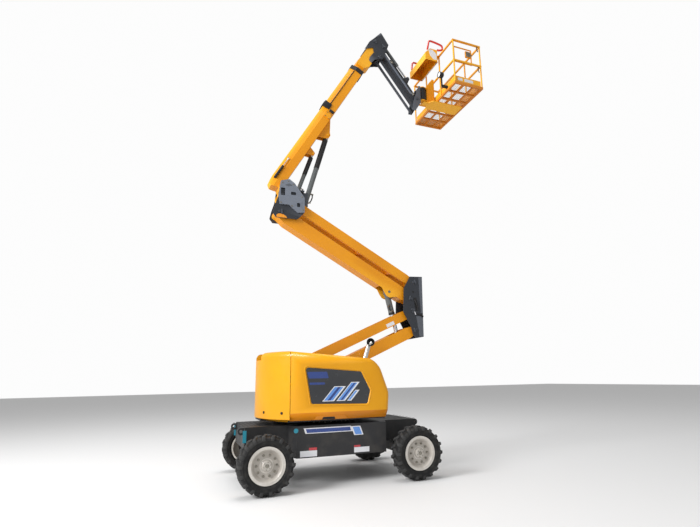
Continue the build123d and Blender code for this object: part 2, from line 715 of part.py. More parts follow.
links = [
    # name, start, angle, height, rail inner face, rail outer face, shares where cross tubes stand
    ("riser_lower_link", table_pin_high, lower_angle, lower_link_h, lower_rail_in, lower_rail_out, (0.3, 0.62)),
    ("riser_upper_link", mid_pin_d, 180 - upper_angle, upper_link_h, upper_rail_in, upper_rail_out, (0.16, 0.4)),
]
for name, start, angle, height, rail_in, rail_out, crossings in links:
    frame = side_plane(start, angle)
    with BuildPart() as link:
        with BuildSketch(frame):
            with BuildLine():
                Polyline(*member_outline(riser_len, height, boss_r), close=True)
            make_face()
            with Locations((0, 0), (riser_len, 0)):
                Circle(boss_r)
        extrude(amount=rail_out, both=True)
        with BuildSketch(frame):
            with BuildLine():
                Polyline(*member_outline(riser_len, height, boss_r), close=True)
            make_face()
            offset(amount=-arm_wall, kind=Kind.INTERSECTION)
        extrude(amount=rail_out - arm_wall, both=True, mode=Mode.SUBTRACT)
        with BuildSketch(frame):
            with Locations((0, 0), (riser_len, 0)):
                Circle(boss_r)
        extrude(amount=arm_boss_half, both=True)
        with BuildSketch(frame):
            with Locations((riser_len / 2, 0)):
                Rectangle(riser_len + 4 * boss_r, 2 * height)
        extrude(amount=rail_in, both=True, mode=Mode.SUBTRACT)
        # cross tubes join the two rails where nothing passes between them
        with BuildSketch(frame):
            with Locations((riser_len * crossings[0], 0), (riser_len * crossings[1], 0)):
                Circle(height * 0.36)
        extrude(amount=rail_out, both=True)
        with BuildSketch(frame):
            with Locations((0, 0), (riser_len, 0)):
                Circle(pin_r + pin_play)
        extrude(amount=arm_w, both=True, mode=Mode.SUBTRACT)
    save(link.part, name)

gusset = [
    # along the upper arm from its lower pin, and down from its middle line
    (120, 0), (200, 50), (400, 212), (470, 222), (540, 190), (640, 125), (640, 0),
]
trunnion_r = 25.0
upper_frame = side_plane(mid_pin_c, 180 - upper_angle)
with BuildPart() as upper_arm:
    with BuildSketch(upper_frame):
        with BuildLine():
            Polyline(*member_outline(riser_len, upper_arm_h, boss_r), close=True)
        make_face()
        with BuildLine():
            Polyline(*gusset, close=True)
        make_face()
        with Locations((0, 0), (riser_len, 0)):
            Circle(boss_r)
    extrude(amount=arm_w / 2, both=True)
    with BuildSketch(upper_frame):
        with BuildLine():
            Polyline(*member_outline(riser_len, upper_arm_h, boss_r), close=True)
        make_face()
        offset(amount=-arm_wall, kind=Kind.INTERSECTION)
        with Locations((500, 180)):
            Rectangle(400, 200)
        with Locations((260, 185)):
            Rectangle(400, 120)
    extrude(amount=arm_w / 2 - arm_wall, both=True, mode=Mode.SUBTRACT)
    with BuildSketch(upper_frame):
        with Locations((0, 0), (riser_len, 0)):
            Circle(boss_r)
    extrude(amount=arm_boss_half, both=True)
    with BuildSketch(upper_frame):
        with Locations((0, 0), (riser_len, 0)):
            Circle(pin_r + pin_play)
    extrude(amount=arm_w, both=True, mode=Mode.SUBTRACT)
    with BuildSketch(side_plane(riser_cyl_base)):
        Circle(trunnion_r + pin_play)
    extrude(amount=arm_w, both=True, mode=Mode.SUBTRACT)
save(upper_arm.part, "riser_upper_arm")

mid_outline = [
    # relative to the lower arm's upper pin
    (-104, 1063), (171, 1074), (156, -146), (-4, -174), (-72, -112), (-120, 60),
    (-270, 344), (-246, 814),
]
mid_web_t = 14.0
with BuildPart() as mid_upright:
    for side in (-1, 1):
        with BuildSketch(side_plane(mid_pin_a, 0, side * (plate_in + plate_t / 2))):
            with BuildLine():
                Polyline(*mid_outline, close=True)
            make_face()
        extrude(amount=plate_t / 2, both=True)
    with BuildSketch(side_plane(mid_pin_a)):
        with BuildLine():
            Polyline((171, 1074), (156, -146), (156 - mid_web_t, -146), (171 - mid_web_t, 1074), close=True)
        make_face()
    extrude(amount=plate_in + plate_t, both=True)
    for pin in (mid_pin_a, mid_pin_b, mid_pin_c, mid_pin_d):
        with BuildSketch(side_plane(pin)):
            Circle(pin_r)
        extrude(amount=plate_in + plate_t + 8, both=True)
save(mid_upright.part, "mid_upright")

top_outline = [
    # relative to the upper arm's upper pin
    (12, 591), (175, 644), (270, 575), (467, 307), (470, 15), (406, -63), (339, -124),
    (-58, -124), (-117, -47), (-87, 96), (-26, 295),
]
bracket_in = 55.0
bracket_out = 70.0
bracket_outline = [
    # the inner pair of plates that holds both cylinders' feet
    (455, 205), (475, 150), (515, 142), (560, 160), (575, 205), (570, 470), (300, 470), (290, 380),
    (310, 335), (370, 335), (400, 430), (450, 400),
]
lift_pin_r = 26.0
level_pin_r = 20.0
with BuildPart() as top_upright:
    for side in (-1, 1):
        with BuildSketch(side_plane(top_pin_c, 0, side * (plate_in + plate_t / 2))):
            with BuildLine():
                Polyline(*top_outline, close=True)
            make_face()
        extrude(amount=plate_t / 2, both=True)
        with BuildSketch(side_plane(top_pin_c, 0, side * (bracket_in + bracket_out) / 2)):
            with BuildLine():
                Polyline(*bracket_outline, close=True)
            make_face()
        extrude(amount=(bracket_out - bracket_in) / 2, both=True)
        # web from the plates in to the cylinders' bracket, above the upper link's swing
        with BuildSketch(side_plane(top_pin_c, 0, side * (bracket_in + plate_in + plate_t) / 2)):
            with Locations((400, 458)):
                Rectangle(150, 24)
        extrude(amount=(plate_in + plate_t - bracket_in) / 2, both=True)
    for pin in (top_pin_c, top_pin_d, boom_pin):
        with BuildSketch(side_plane(pin)):
            Circle(pin_r)
        extrude(amount=plate_in + plate_t + 8, both=True)
    with BuildSketch(side_plane(lift_base)):
        Circle(lift_pin_r)
    extrude(amount=bracket_out, both=True)
    with BuildSketch(side_plane(level_base)):
        Circle(level_pin_r)
    extrude(amount=bracket_out, both=True)
save(top_upright.part, "upper_upright")

cover_t = 6.0
cover_stand = 26.0
shell_outline = [
    (12, 598), (175, 650), (276, 580), (472, 308), (474, 15), (350, -2), (244, 75), (177, 137),
    (2, 133), (-26, 295),
]
shell_holes = [
    # middle along the machine, middle height, width, height
    (55, 385, 80, 150), (255, 368, 95, 60), (355, 150, 58, 80),
]
with BuildPart() as upright_cover:
    for side in (-1, 1):
        with BuildSketch(side_plane(top_pin_c, 0, side * (plate_in + plate_t + seat_gap))):
            with BuildLine():
                Polyline(*shell_outline, close=True)
            make_face()
        extrude(amount=-side * (cover_stand + cover_t))
        with BuildSketch(side_plane(top_pin_c, 0, side * (plate_in + plate_t))):
            with BuildLine():
                Polyline(*shell_outline, close=True)
            make_face()
            offset(amount=-cover_t, kind=Kind.INTERSECTION)
        extrude(amount=-side * cover_stand, mode=Mode.SUBTRACT)
        # hand holes and slots through the shell
        with BuildSketch(side_plane(top_pin_c, 0, side * (plate_in + plate_t + cover_stand - 1))):
            for x, z, wide, high in shell_holes:
                with Locations((x, z)):
                    RectangleRounded(wide, high, 12)
        extrude(amount=-side * 3 * cover_t, mode=Mode.SUBTRACT)
save(upright_cover.part, "upright_cover")

# ---------------------------------------------------------------- main boom
boom_shoulder = 150.0     # the section narrows above this height
boom_top_half = 78.0
boom_front = boom_outer_len - 100.0


def boom_section():
    """Corners of the outer tube's section: across the machine, and up from its lower edge."""
    half = boom_outer_w / 2
    return [(-half, 0), (half, 0), (half, boom_shoulder), (boom_top_half, boom_outer_h),
            (-boom_top_half, boom_outer_h), (-half, boom_shoulder)]


def across_plane(point, angle, u):
    """Working plane square to a member at a distance along it: local y is up from its line."""
    a = radians(angle)
    spot = along(point, angle, u)
    return Plane(origin=(spot[0], 0, spot[1]), x_dir=(0, 1, 0), z_dir=(cos(a), 0, sin(a)))


boom_frame = side_plane(boom_pin, boom_angle)
pad_u = 1900.0
pad_len = 120.0
pad_t = 16.0
pad_gap = 0.5
pad_depth = 22.0
lift_ear = [(1400, 8), (1480, -150), (1530, -192), (1590, -192), (1640, -150), (1930, 8)]
level_ear = [(920, 8), (970, -130), (990, -146), (1030, -146), (1050, -130), (1100, 8)]
with BuildPart() as boom_outer:
    with BuildSketch(across_plane(boom_pin, boom_angle, -110)):
        with BuildLine():
            Polyline(*boom_section(), close=True)
        make_face()
    extrude(amount=boom_front + 110)
    with BuildSketch(across_plane(boom_pin, boom_angle, 180)):
        with BuildLine():
            Polyline(*boom_section(), close=True)
        make_face()
        offset(amount=-boom_wall, kind=Kind.INTERSECTION)
    extrude(amount=boom_front, mode=Mode.SUBTRACT)
    with BuildSketch(boom_frame):
        with BuildLine():
            Polyline((-40, -20), (-59, 63), (-102, 197), (-60, 258), (85, boom_outer_h), (85, 400),
                     (-300, 400), (-300, -20), close=True)
        make_face()
    extrude(amount=boom_outer_w, both=True, mode=Mode.SUBTRACT)
    with BuildSketch(boom_frame):
        Circle(boss_r)
    extrude(amount=arm_boss_half, both=True)
    with BuildSketch(boom_frame):
        Circle(pin_r + pin_play)
    extrude(amount=arm_w, both=True, mode=Mode.SUBTRACT)
    for side in (-1, 1):
        for outline, y_in in ((lift_ear, bracket_in), (level_ear, bracket_in)):
            with BuildSketch(side_plane(boom_pin, boom_angle, side * y_in)):
                with BuildLine():
                    Polyline(*outline, close=True)
                make_face()
            extrude(amount=-side * (bracket_out - bracket_in))
            point, radius = (lift_top, lift_pin_r) if outline is lift_ear else (level_top, level_pin_r)
            with BuildSketch(side_plane(point, 0, side * y_in)):
                Circle(radius)
            extrude(amount=-side * (bracket_out - bracket_in + 14))
    # clamp pads on both sides, half way up the tube
    for side in (-1, 1):
        with BuildSketch(side_plane(boom_pin, boom_angle, side * (boom_outer_w / 2 - 1))):
            with Locations((pad_u, boom_shoulder / 2)):
                RectangleRounded(pad_len, boom_shoulder - 20, 10)
        extrude(amount=-side * (pad_t + 1))
save(boom_outer.part, "boom_outer")

with BuildPart() as boom_collar:
    with BuildSketch(across_plane(boom_pin, boom_angle, boom_front + seat_gap)):
        with BuildLine():
            Polyline(*boom_section(), close=True)
        make_face()
        offset(amount=12, kind=Kind.INTERSECTION)
        with BuildLine(mode=Mode.PRIVATE) as hole_line:
            Polyline(*boom_section(), close=True)
    extrude(amount=100)
    with BuildSketch(across_plane(boom_pin, boom_angle, boom_front)):
        with BuildLine():
            Polyline(*boom_section(), close=True)
        make_face()
        offset(amount=-boom_wall - pad_depth + pad_gap, kind=Kind.INTERSECTION)
    extrude(amount=200, mode=Mode.SUBTRACT)
save(boom_collar.part, "boom_collar")

head_start = 3560.0
head_outline = [
    # along the boom from its pivot, and up from its lower edge
    (3440, 40), (3580, -38), (3680, -40), (3800, 40), (4060, 62), (4200, 62), (4260, 100), (4276, 137),
    (4260, 180), (4200, 212), (3500, 236), (3440, 220),
]
head_half = 125.0
with BuildPart() as boom_inner:
    with BuildSketch(across_plane(boom_pin, boom_angle, 300)):
        with BuildLine():
            Polyline(*boom_section(), close=True)
        make_face()
        offset(amount=-boom_wall - pad_depth, kind=Kind.INTERSECTION)
    extrude(amount=3300)
    with BuildSketch(across_plane(boom_pin, boom_angle, 300)):
        with BuildLine():
            Polyline(*boom_section(), close=True)
        make_face()
        offset(amount=-boom_wall - pad_gap, kind=Kind.INTERSECTION)
    extrude(amount=110)
    with BuildSketch(across_plane(boom_pin, boom_angle, 290)):
        with BuildLine():
            Polyline(*boom_section(), close=True)
        make_face()
        offset(amount=-2 * boom_wall - pad_depth, kind=Kind.INTERSECTION)
    extrude(amount=3300, mode=Mode.SUBTRACT)
    with BuildSketch(boom_frame):
        with BuildLine():
            Polyline(*head_outline, close=True)
        make_face()
    extrude(amount=head_half, both=True)
    with BuildSketch(boom_frame):
        with BuildLine():
            Polyline(*head_outline, close=True)
        make_face()
        offset(amount=-2 * boom_wall, kind=Kind.INTERSECTION)
    extrude(amount=head_half - 2 * boom_wall, both=True, mode=Mode.SUBTRACT)
    with BuildSketch(side_plane(tip_pin)):
        Circle(boss_r)
    extrude(amount=head_half, both=True)
    with BuildSketch(side_plane(tip_pin)):
        Circle(pin_r + pin_play)
    extrude(amount=arm_w, both=True, mode=Mode.SUBTRACT)
save(boom_inner.part, "boom_inner")

# ---------------------------------------------------------------- tip and jib
tip_in = head_half + swing_gap
tip_t = 18.0
jib_pin_r = 25.0
jib_link_pin_r = 18.0
knuckle_outline = [
    # relative to the boom's tip pin
    (-275, -222), (-160, -15), (-38, 110), (115, 282), (140, 262), (300, 20), (255, -110), (150, -380),
    (60, -395), (-40, -430), (-125, -530), (-175, -470), (-160, -400), (-60, -260), (-75, -140),
]
with BuildPart() as tip_knuckle:
    for side in (-1, 1):
        with BuildSketch(side_plane(tip_pin, 0, side * (tip_in + tip_t / 2))):
            with BuildLine():
                Polyline(*knuckle_outline, close=True)
            make_face()
        extrude(amount=tip_t / 2, both=True)
    with BuildSketch(side_plane(tip_pin)):
        with BuildLine():
            Polyline((-28, 121), (115, 282), (150, 247), (142, 238), (115, 266), (-18, 112), close=True)
        make_face()
    extrude(amount=tip_in + tip_t, both=True)
    for point, radius in ((tip_pin, pin_r), (jib_pin, jib_pin_r), (jib_link_pin, jib_link_pin_r),
                          (jib_cyl_base, level_pin_r)):
        with BuildSketch(side_plane(point)):
            Circle(radius)
        extrude(amount=tip_in + tip_t + 6, both=True)
save(tip_knuckle.part, "tip_knuckle")

jib_root_r = 60.0
jib_boss_r = 36.0
jib_end_half = 85.0
jib_frame = side_plane(jib_pin, jib_angle)
with BuildPart() as jib_arm:
    with BuildSketch(jib_frame):
        with Locations((jib_len / 2, 0)):
            Rectangle(jib_len, jib_arm_h)
        # the jib cylinder's foot comes down here when the jib is up
        with Locations((190, jib_arm_h / 2)):
            Rectangle(180, 66, mode=Mode.SUBTRACT)
        with Locations((0, 0), (jib_len, 0)):
            Circle(jib_root_r)
    extrude(amount=jib_arm_w / 2, both=True)
    with BuildSketch(jib_frame):
        with Locations((jib_len / 2, 0)):
            Rectangle(jib_len + 10, jib_arm_h - 2 * jib_wall)
        # the jib cylinder dips into the arm when the jib is up
        with Locations((430, jib_arm_h / 2)):
            Rectangle(680, 4 * jib_wall)
    extrude(amount=jib_arm_w / 2 - jib_wall, both=True, mode=Mode.SUBTRACT)
    for u, half in ((0, head_half), (jib_len, jib_end_half)):
        with BuildSketch(side_plane(along(jib_pin, jib_angle, u))):
            Circle(jib_boss_r)
        extrude(amount=half, both=True)
        with BuildSketch(side_plane(along(jib_pin, jib_angle, u))):
            Circle(jib_pin_r + pin_play)
        extrude(amount=half, both=True, mode=Mode.SUBTRACT)
    for side in (-1, 1):
        with BuildSketch(side_plane(jib_pin, jib_angle, side * 36)):
            with BuildLine():
                Polyline((776, 60), (800, 205), (858, 205), (940, 60), close=True)
            make_face()
        extrude(amount=-side * 15)
        with BuildSketch(side_plane(jib_cyl_eye, 0, side * 36)):
            Circle(level_pin_r)
        extrude(amount=-side * 26)
save(jib_arm.part, "jib_arm")

jib_bar_in = 66.0
jib_bar_out = 84.0
jib_bar_h = 60.0
with BuildPart() as jib_link:
    for side in (-1, 1):
        with BuildSketch(side_plane(jib_link_pin, jib_angle, side * jib_bar_in)):
            with Locations((jib_len / 2, 0)):
                SlotCenterToCenter(jib_len, jib_bar_h)
        extrude(amount=-side * (jib_bar_out - jib_bar_in))
        with BuildSketch(side_plane(jib_link_pin, jib_angle, side * jib_bar_in)):
            Circle(jib_bar_h / 2)
        extrude(amount=-side * (head_half - jib_bar_in))
    with BuildSketch(side_plane(jib_link_pin, jib_angle)):
        Circle(jib_link_pin_r + pin_play)
        with Locations((jib_len, 0)):
            Circle(jib_link_pin_r + pin_play)
    extrude(amount=arm_w, both=True, mode=Mode.SUBTRACT)
save(jib_link.part, "jib_link")

end_plate_in = 90.0
end_plate_t = 15.0
rotator_r = 85.0
rotator_low = jib_end_pin[1] + 62.0
rotator_high = rotator_low + 300.0
rotator_pin_r = 30.0
web_front = rotator_x - 95.0
end_outline = [
    # relative to the jib's end pin
    (-125, -285), (-40, -285), (60, -120), (98, -60), (98, 350), (60, 350), (-20, 120), (-62, 30),
    (-115, -190),
]
with BuildPart() as end_bracket:
    for side in (-1, 1):
        with BuildSketch(side_plane(jib_end_pin, 0, side * end_plate_in)):
            with BuildLine():
                Polyline(*end_outline, close=True)
            make_face()
        extrude(amount=-side * end_plate_t)
        # the link's pin is in two halves, because the jib swings up between them
        with BuildSketch(side_plane(jib_link_end, 0, side * (jib_bar_in - 2))):
            Circle(jib_link_pin_r)
        extrude(amount=-side * (end_plate_in + end_plate_t - jib_bar_in + 2))
    with BuildSketch(side_plane(jib_end_pin)):
        Circle(jib_pin_r)
    extrude(amount=end_plate_in + end_plate_t, both=True)
    with BuildSketch(side_plane(jib_end_pin)):
        with Locations((88, 145)):
            Rectangle(20, 410)
        with Locations((web_front - jib_end_pin[0] + 4.85, 212)):
            Rectangle(9.7, 220)
    extrude(amount=50, both=True)
    with BuildSketch(side_plane(jib_end_pin)):
        with Locations((88, 145)):
            Rectangle(20, 410)
    extrude(amount=end_plate_in, both=True)
save(end_bracket.part, "jib_end_bracket")

with BuildPart() as rotator:
    with BuildSketch(Plane.XY.offset(rotator_low)):
        with Locations((rotator_x, 0)):
            Circle(rotator_r)
    extrude(amount=rotator_high - rotator_low)
    with BuildSketch(Plane.XY.offset(rotator_low - 1)):
        with Locations((rotator_x, 0)):
            Circle(rotator_pin_r + pin_play)
    extrude(amount=rotator_high - rotator_low + 2, mode=Mode.SUBTRACT)
save(rotator.part, "rotator")

# ---------------------------------------------------------------- cylinders
cylinders = [
    # name, foot, rod's eye, barrel r, rod r, foot pin r, barrel back, barrel length, rod length, eye half
    ("riser", riser_cyl_base, riser_cyl_eye, 60, 40, trunnion_r, 170, 450, 660, rod_eye_half),
    ("lift", lift_base, lift_top, 50, 32, lift_pin_r, 0, 960, 918, 50),
    ("level", level_base, level_top, 40, 22, level_pin_r, 0, 640, 527, 50),
    ("jib", jib_cyl_base, jib_cyl_eye, 36, 20, level_pin_r, 0, 580, 432, 30),
]
rod_play = 0.1
for name, foot, eye, barrel_r, rod_r, foot_pin_r, back, barrel_len, rod_len, eye_half in cylinders:
    angle = aim(foot, eye)
    reach = distance(foot, eye)
    way = (cos(radians(angle)), 0, sin(radians(angle)))
    foot_r = foot_pin_r + 18
    inner_start = -back + 20 if back else foot_r + 6
    start = along(foot, angle, -back)
    inner = along(foot, angle, inner_start)
    with BuildPart() as barrel:
        with BuildSketch(Plane(origin=(start[0], 0, start[1]), x_dir=(0, 1, 0), z_dir=way)):
            Circle(barrel_r)
        extrude(amount=back + barrel_len)
        if back:
            with BuildSketch(side_plane(foot)):
                Circle(foot_pin_r)
            extrude(amount=arm_w / 2 + 6, both=True)
        else:
            with BuildSketch(side_plane(foot)):
                Circle(foot_r)
            extrude(amount=50, both=True)
            with BuildSketch(side_plane(foot, angle)):
                with Locations((-barrel_r, 0)):
                    Rectangle(2 * barrel_r, 3 * barrel_r)
            extrude(amount=barrel_r, both=True, mode=Mode.SUBTRACT)
            with BuildSketch(side_plane(foot)):
                Circle(foot_r)
            extrude(amount=min(50, barrel_r + 9), both=True)
            with BuildSketch(side_plane(foot)):
                Circle(foot_pin_r + pin_play)
            extrude(amount=arm_w, both=True, mode=Mode.SUBTRACT)
        with BuildSketch(Plane(origin=(inner[0], 0, inner[1]), x_dir=(0, 1, 0), z_dir=way)):
            Circle(rod_r + rod_play)
        extrude(amount=barrel_len - inner_start + 5, mode=Mode.SUBTRACT)
    save(barrel.part, f"{name}_cylinder_barrel")
    rod_start = along(foot, angle, reach - rod_len)
    with BuildPart() as rod:
        with BuildSketch(Plane(origin=(rod_start[0], 0, rod_start[1]), x_dir=(0, 1, 0), z_dir=way)):
            Circle(rod_r)
        extrude(amount=rod_len)
        with BuildSketch(side_plane(eye)):
            Circle(rod_r + 14)
        extrude(amount=eye_half, both=True)
    save(rod.part, f"{name}_cylinder_rod")

# ---------------------------------------------------------------- platform
half_w = platform_w / 2
half_len = platform_len / 2
near_x = platform_x - half_w
frame_h = 50.0
frame_w = 40.0
deck_plate_t = 4.0
support_t = 20.0
fan_y = 42.0
fan_t = 12.0
floor_z = platform_z + frame_h + deck_plate_t      # top of the deck
support_z = platform_z - seat_gap - support_t
support_plan = [
    # from the rotator's axis towards the platform, and across
    (0, 60), (115, 60), (210, 170), (960, 170), (960, -170), (210, -170), (115, -60), (0, -60),
]
with BuildPart() as support:
    with BuildSketch(Plane.XY.offset(support_z).shift_origin((rotator_x, 0, support_z))):
        with BuildLine():
            Polyline(*support_plan, close=True)
        make_face()
    extrude(amount=support_t)
    # ears above and below the rotator
    for z in (rotator_high + seat_gap, rotator_low - seat_gap - support_t):
        with BuildSketch(Plane.XY.offset(z)):
            with Locations((rotator_x, 0)):
                Circle(rotator_r - 5)
            with Locations((rotator_x + 60, 0)):
                Rectangle(120, 120)
        extrude(amount=support_t)
    with BuildSketch(Plane.XY.offset(support_z)):
        with Locations((rotator_x + 108, 0)):
            Rectangle(24, 120)
    extrude(amount=rotator_high + support_t - support_z)
    # fan-shaped plates up the platform's near side
    for side in (-1, 1):
        with BuildSketch(side_plane((rotator_x, support_z), 0, side * fan_y)):
            with BuildLine():
                Polyline((110, 0), (298, 0), (298, 640), (250, 640), (110, 440), close=True)
            make_face()
        extrude(amount=-side * fan_t)
    for z, way in ((rotator_high + seat_gap + 1, -1), (rotator_low - seat_gap - 1, 1)):
        with BuildSketch(Plane.XY.offset(z)):
            with Locations((rotator_x, 0)):
                Circle(rotator_pin_r)
        extrude(amount=way * 60)
save(support.part, "platform_support")

with BuildPart() as floor:
    with BuildSketch(Plane.XY.offset(platform_z)):
        with Locations((platform_x, 0)):
            Rectangle(platform_w, platform_len)
            Rectangle(platform_w - 2 * frame_w, platform_len - 2 * frame_w, mode=Mode.SUBTRACT)
    extrude(amount=frame_h)
    with BuildSketch(Plane.XY.offset(platform_z)):
        with Locations((platform_x, 0)):
            with GridLocations(0, (platform_len - frame_w) / 6, 1, 5):
                Rectangle(platform_w - frame_w, frame_w)
            with GridLocations(platform_w / 3, 0, 2, 1):
                Rectangle(30, platform_len - frame_w)
    extrude(amount=frame_h - 12)
save(floor.part, "platform_floor")

with BuildPart() as deck_plate:
    with BuildSketch(Plane.XY.offset(platform_z + frame_h)):
        with Locations((platform_x, 0)):
            Rectangle(platform_w, platform_len)
    extrude(amount=deck_plate_t)
save(deck_plate.part, "platform_deck")

rail_top = platform_z + rail_h
post_x = half_w - tube_r
post_end_y = half_len - tube_r
toe_t = 4.0
mid_rail_z = floor_z + (rail_h - frame_h) / 2
gate_gap = 0.34            # share of the half length where the inner posts stand
with BuildPart() as posts:
    for x, y in ((-1, -1), (-1, -gate_gap), (-1, gate_gap), (-1, 1),
                 (1, -1), (1, -gate_gap), (1, gate_gap), (1, 1)):
        for low, high in ((floor_z, mid_rail_z - tube_r), (mid_rail_z + tube_r, rail_top - 2 * tube_r)):
            with BuildSketch(Plane.XY.offset(low)):
                with Locations((platform_x + x * post_x, y * post_end_y)):
                    Circle(tube_r)
            extrude(amount=high - low)
save(posts.part, "platform_posts")

with BuildPart() as mid_rail:
    with BuildSketch(Plane.XY.offset(mid_rail_z - tube_r)):
        with Locations((platform_x, 0)):
            Rectangle(platform_w, platform_len)
            Rectangle(platform_w - 4 * tube_r, platform_len - 4 * tube_r, mode=Mode.SUBTRACT)
    extrude(amount=2 * tube_r)
save(mid_rail.part, "platform_mid_rail")

with BuildPart() as top_rail:
    with BuildSketch(Plane.XY.offset(rail_top - 2 * tube_r)):
        with Locations((platform_x, 0)):
            Rectangle(platform_w, platform_len)
            Rectangle(platform_w - 4 * tube_r, platform_len - 4 * tube_r, mode=Mode.SUBTRACT)
    extrude(amount=2 * tube_r)
    # arms that hold the console on the near side
    for y in (-300, 300):
        with BuildSketch(Plane(origin=(near_x + 10, y, rail_top - tube_r), z_dir=(-1, 0, 0))):
            Circle(tube_r)
        extrude(amount=near_x + 10 - (platform_x - 435) - seat_gap)
save(top_rail.part, "platform_top_rail")

# the gate at the -Y end: a bar below the top rail, a loop down to the mid rail, a latch box
gate_r = 14.0
gate_half = 221.0
gate_x = near_x + 2 * tube_r + seat_gap + gate_r + gate_half
gate_y = -(half_len - 2 * tube_r - seat_gap - gate_r)
gate_top = rail_top - 150.0
gate_low = mid_rail_z
latch_h = 150.0
gate_post_low = floor_z + toe_h + 30.0
with BuildPart() as gate:
    for x in (gate_x - gate_half, gate_x + gate_half):
        with BuildSketch(Plane.XY.offset(gate_low)):
            with Locations((x, gate_y)):
                Circle(gate_r)
        extrude(amount=gate_top - gate_low)
    for z in (gate_low, gate_top):
        with BuildSketch(Plane(origin=(gate_x - gate_half, gate_y, z), z_dir=(1, 0, 0))):
            Circle(gate_r)
        extrude(amount=2 * gate_half)
        with Locations((gate_x - gate_half, gate_y, z), (gate_x + gate_half, gate_y, z)):
            Sphere(gate_r)
    with BuildSketch(Plane.XY.offset(gate_post_low)):
        with Locations((gate_x + 30, gate_y)):
            Circle(gate_r)
    extrude(amount=gate_low - gate_post_low)
    # latch box under the upper bar, at the post away from the boom
    with BuildSketch(Plane.XY.offset(gate_top - 50 - latch_h)):
        with Locations((gate_x + gate_half - 75, gate_y)):
            Rectangle(150, 2 * gate_r)
    extrude(amount=latch_h)
save(gate.part, "platform_gate")

inner_w = platform_w - 4 * tube_r - 2 * seat_gap
inner_len = platform_len - 4 * tube_r - 2 * seat_gap
with BuildPart() as toe_board:
    with BuildSketch(Plane.XY.offset(floor_z)):
        with Locations((platform_x, 0)):
            Rectangle(inner_w, inner_len)
            Rectangle(inner_w - 2 * toe_t, inner_len - 2 * toe_t, mode=Mode.SUBTRACT)
    extrude(amount=toe_h)
save(toe_board.part, "platform_toe_board")

console_z = rail_top - 231.0
console_outline = [
    # relative to the console's far lower corner, across the machine's side view
    (-435 - 304, 0), (-435, 0), (-435, 300), (-435 - 180, 300), (-435 - 304, 170),
]
console_half = 385.0
with BuildPart() as console:
    with BuildSketch(side_plane((platform_x, console_z))):
        with BuildLine():
            Polyline(*console_outline, close=True)
        make_face()
    extrude(amount=console_half, both=True)
    offset(amount=-6, openings=console.faces().sort_by(Axis.Z)[0])
save(console.part, "control_console")

bar_r = 16.0
with BuildPart() as safety_bar:
    with BuildSketch(side_plane((platform_x - 435 + 40, console_z + 340), 0, 0)):
        Circle(bar_r)
    extrude(amount=console_half - 20, both=True)
    for y in (-300, 300):
        with BuildSketch(Plane(origin=(platform_x - 395, y, rail_top + seat_gap), z_dir=(0, 0, 1))):
            Circle(bar_r - 4)
        extrude(amount=console_z + 340 - rail_top)
save(safety_bar.part, "safety_bar")

lamp_x = near_x - 90.0
lamp_y = -560.0
lamp_z = floor_z + 328.0
lamp_r = 55.0
with BuildPart() as lamp:
    with BuildSketch(Plane(origin=(lamp_x, lamp_y, lamp_z), z_dir=(-1, 0, 0))):
        Circle(lamp_r)
    extrude(amount=70)
    with BuildSketch(Plane(origin=(platform_x - inner_w / 2 - seat_gap, lamp_y, floor_z + 60), z_dir=(-1, 0, 0))):
        Rectangle(40, 60)
    extrude(amount=platform_x - inner_w / 2 - lamp_x + 10)
    with BuildSketch(Plane.XY.offset(floor_z + 50)):
        with Locations((lamp_x - 15, lamp_y)):
            Rectangle(24, 24)
    extrude(amount=lamp_z - floor_z - 60)
save(lamp.part, "work_lamp")
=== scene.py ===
# %% [markdown]
# This lesson dresses a self-propelled lift: a slewing machine on four tyres that folds a
# work platform up on two risers, a telescoping boom and a small jib.  The solid parts come
# in as a fixed frame and are never moved, so each step here only adds a finish or a piece
# that rides on one of them.

import json
from math import atan2, cos, degrees, pi, radians, sin

import bmesh
import bpy
from mathutils import Matrix, Vector


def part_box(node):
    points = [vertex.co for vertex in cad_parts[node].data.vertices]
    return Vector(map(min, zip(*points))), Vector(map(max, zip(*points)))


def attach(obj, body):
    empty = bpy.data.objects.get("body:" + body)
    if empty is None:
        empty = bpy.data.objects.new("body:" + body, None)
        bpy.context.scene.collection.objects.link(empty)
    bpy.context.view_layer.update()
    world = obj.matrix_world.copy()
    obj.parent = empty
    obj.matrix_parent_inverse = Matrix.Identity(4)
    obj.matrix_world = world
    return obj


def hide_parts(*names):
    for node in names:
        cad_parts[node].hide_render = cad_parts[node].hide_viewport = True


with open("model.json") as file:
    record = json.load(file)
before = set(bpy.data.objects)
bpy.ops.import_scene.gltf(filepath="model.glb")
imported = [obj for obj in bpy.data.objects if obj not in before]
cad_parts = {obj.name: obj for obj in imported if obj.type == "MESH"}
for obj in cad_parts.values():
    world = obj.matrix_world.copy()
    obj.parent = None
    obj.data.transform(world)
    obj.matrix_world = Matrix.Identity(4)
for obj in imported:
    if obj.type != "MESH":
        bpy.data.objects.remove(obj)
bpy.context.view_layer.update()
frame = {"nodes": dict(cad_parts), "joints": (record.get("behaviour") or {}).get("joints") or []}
nodes = frame["nodes"]

# %% [markdown]
# The camera stands low, a little behind the machine's side, and looks up along the boom.
# Its place is given in metres and its turn as three angles.  A small lens shift moves the
# view sideways and up without turning the camera any further.

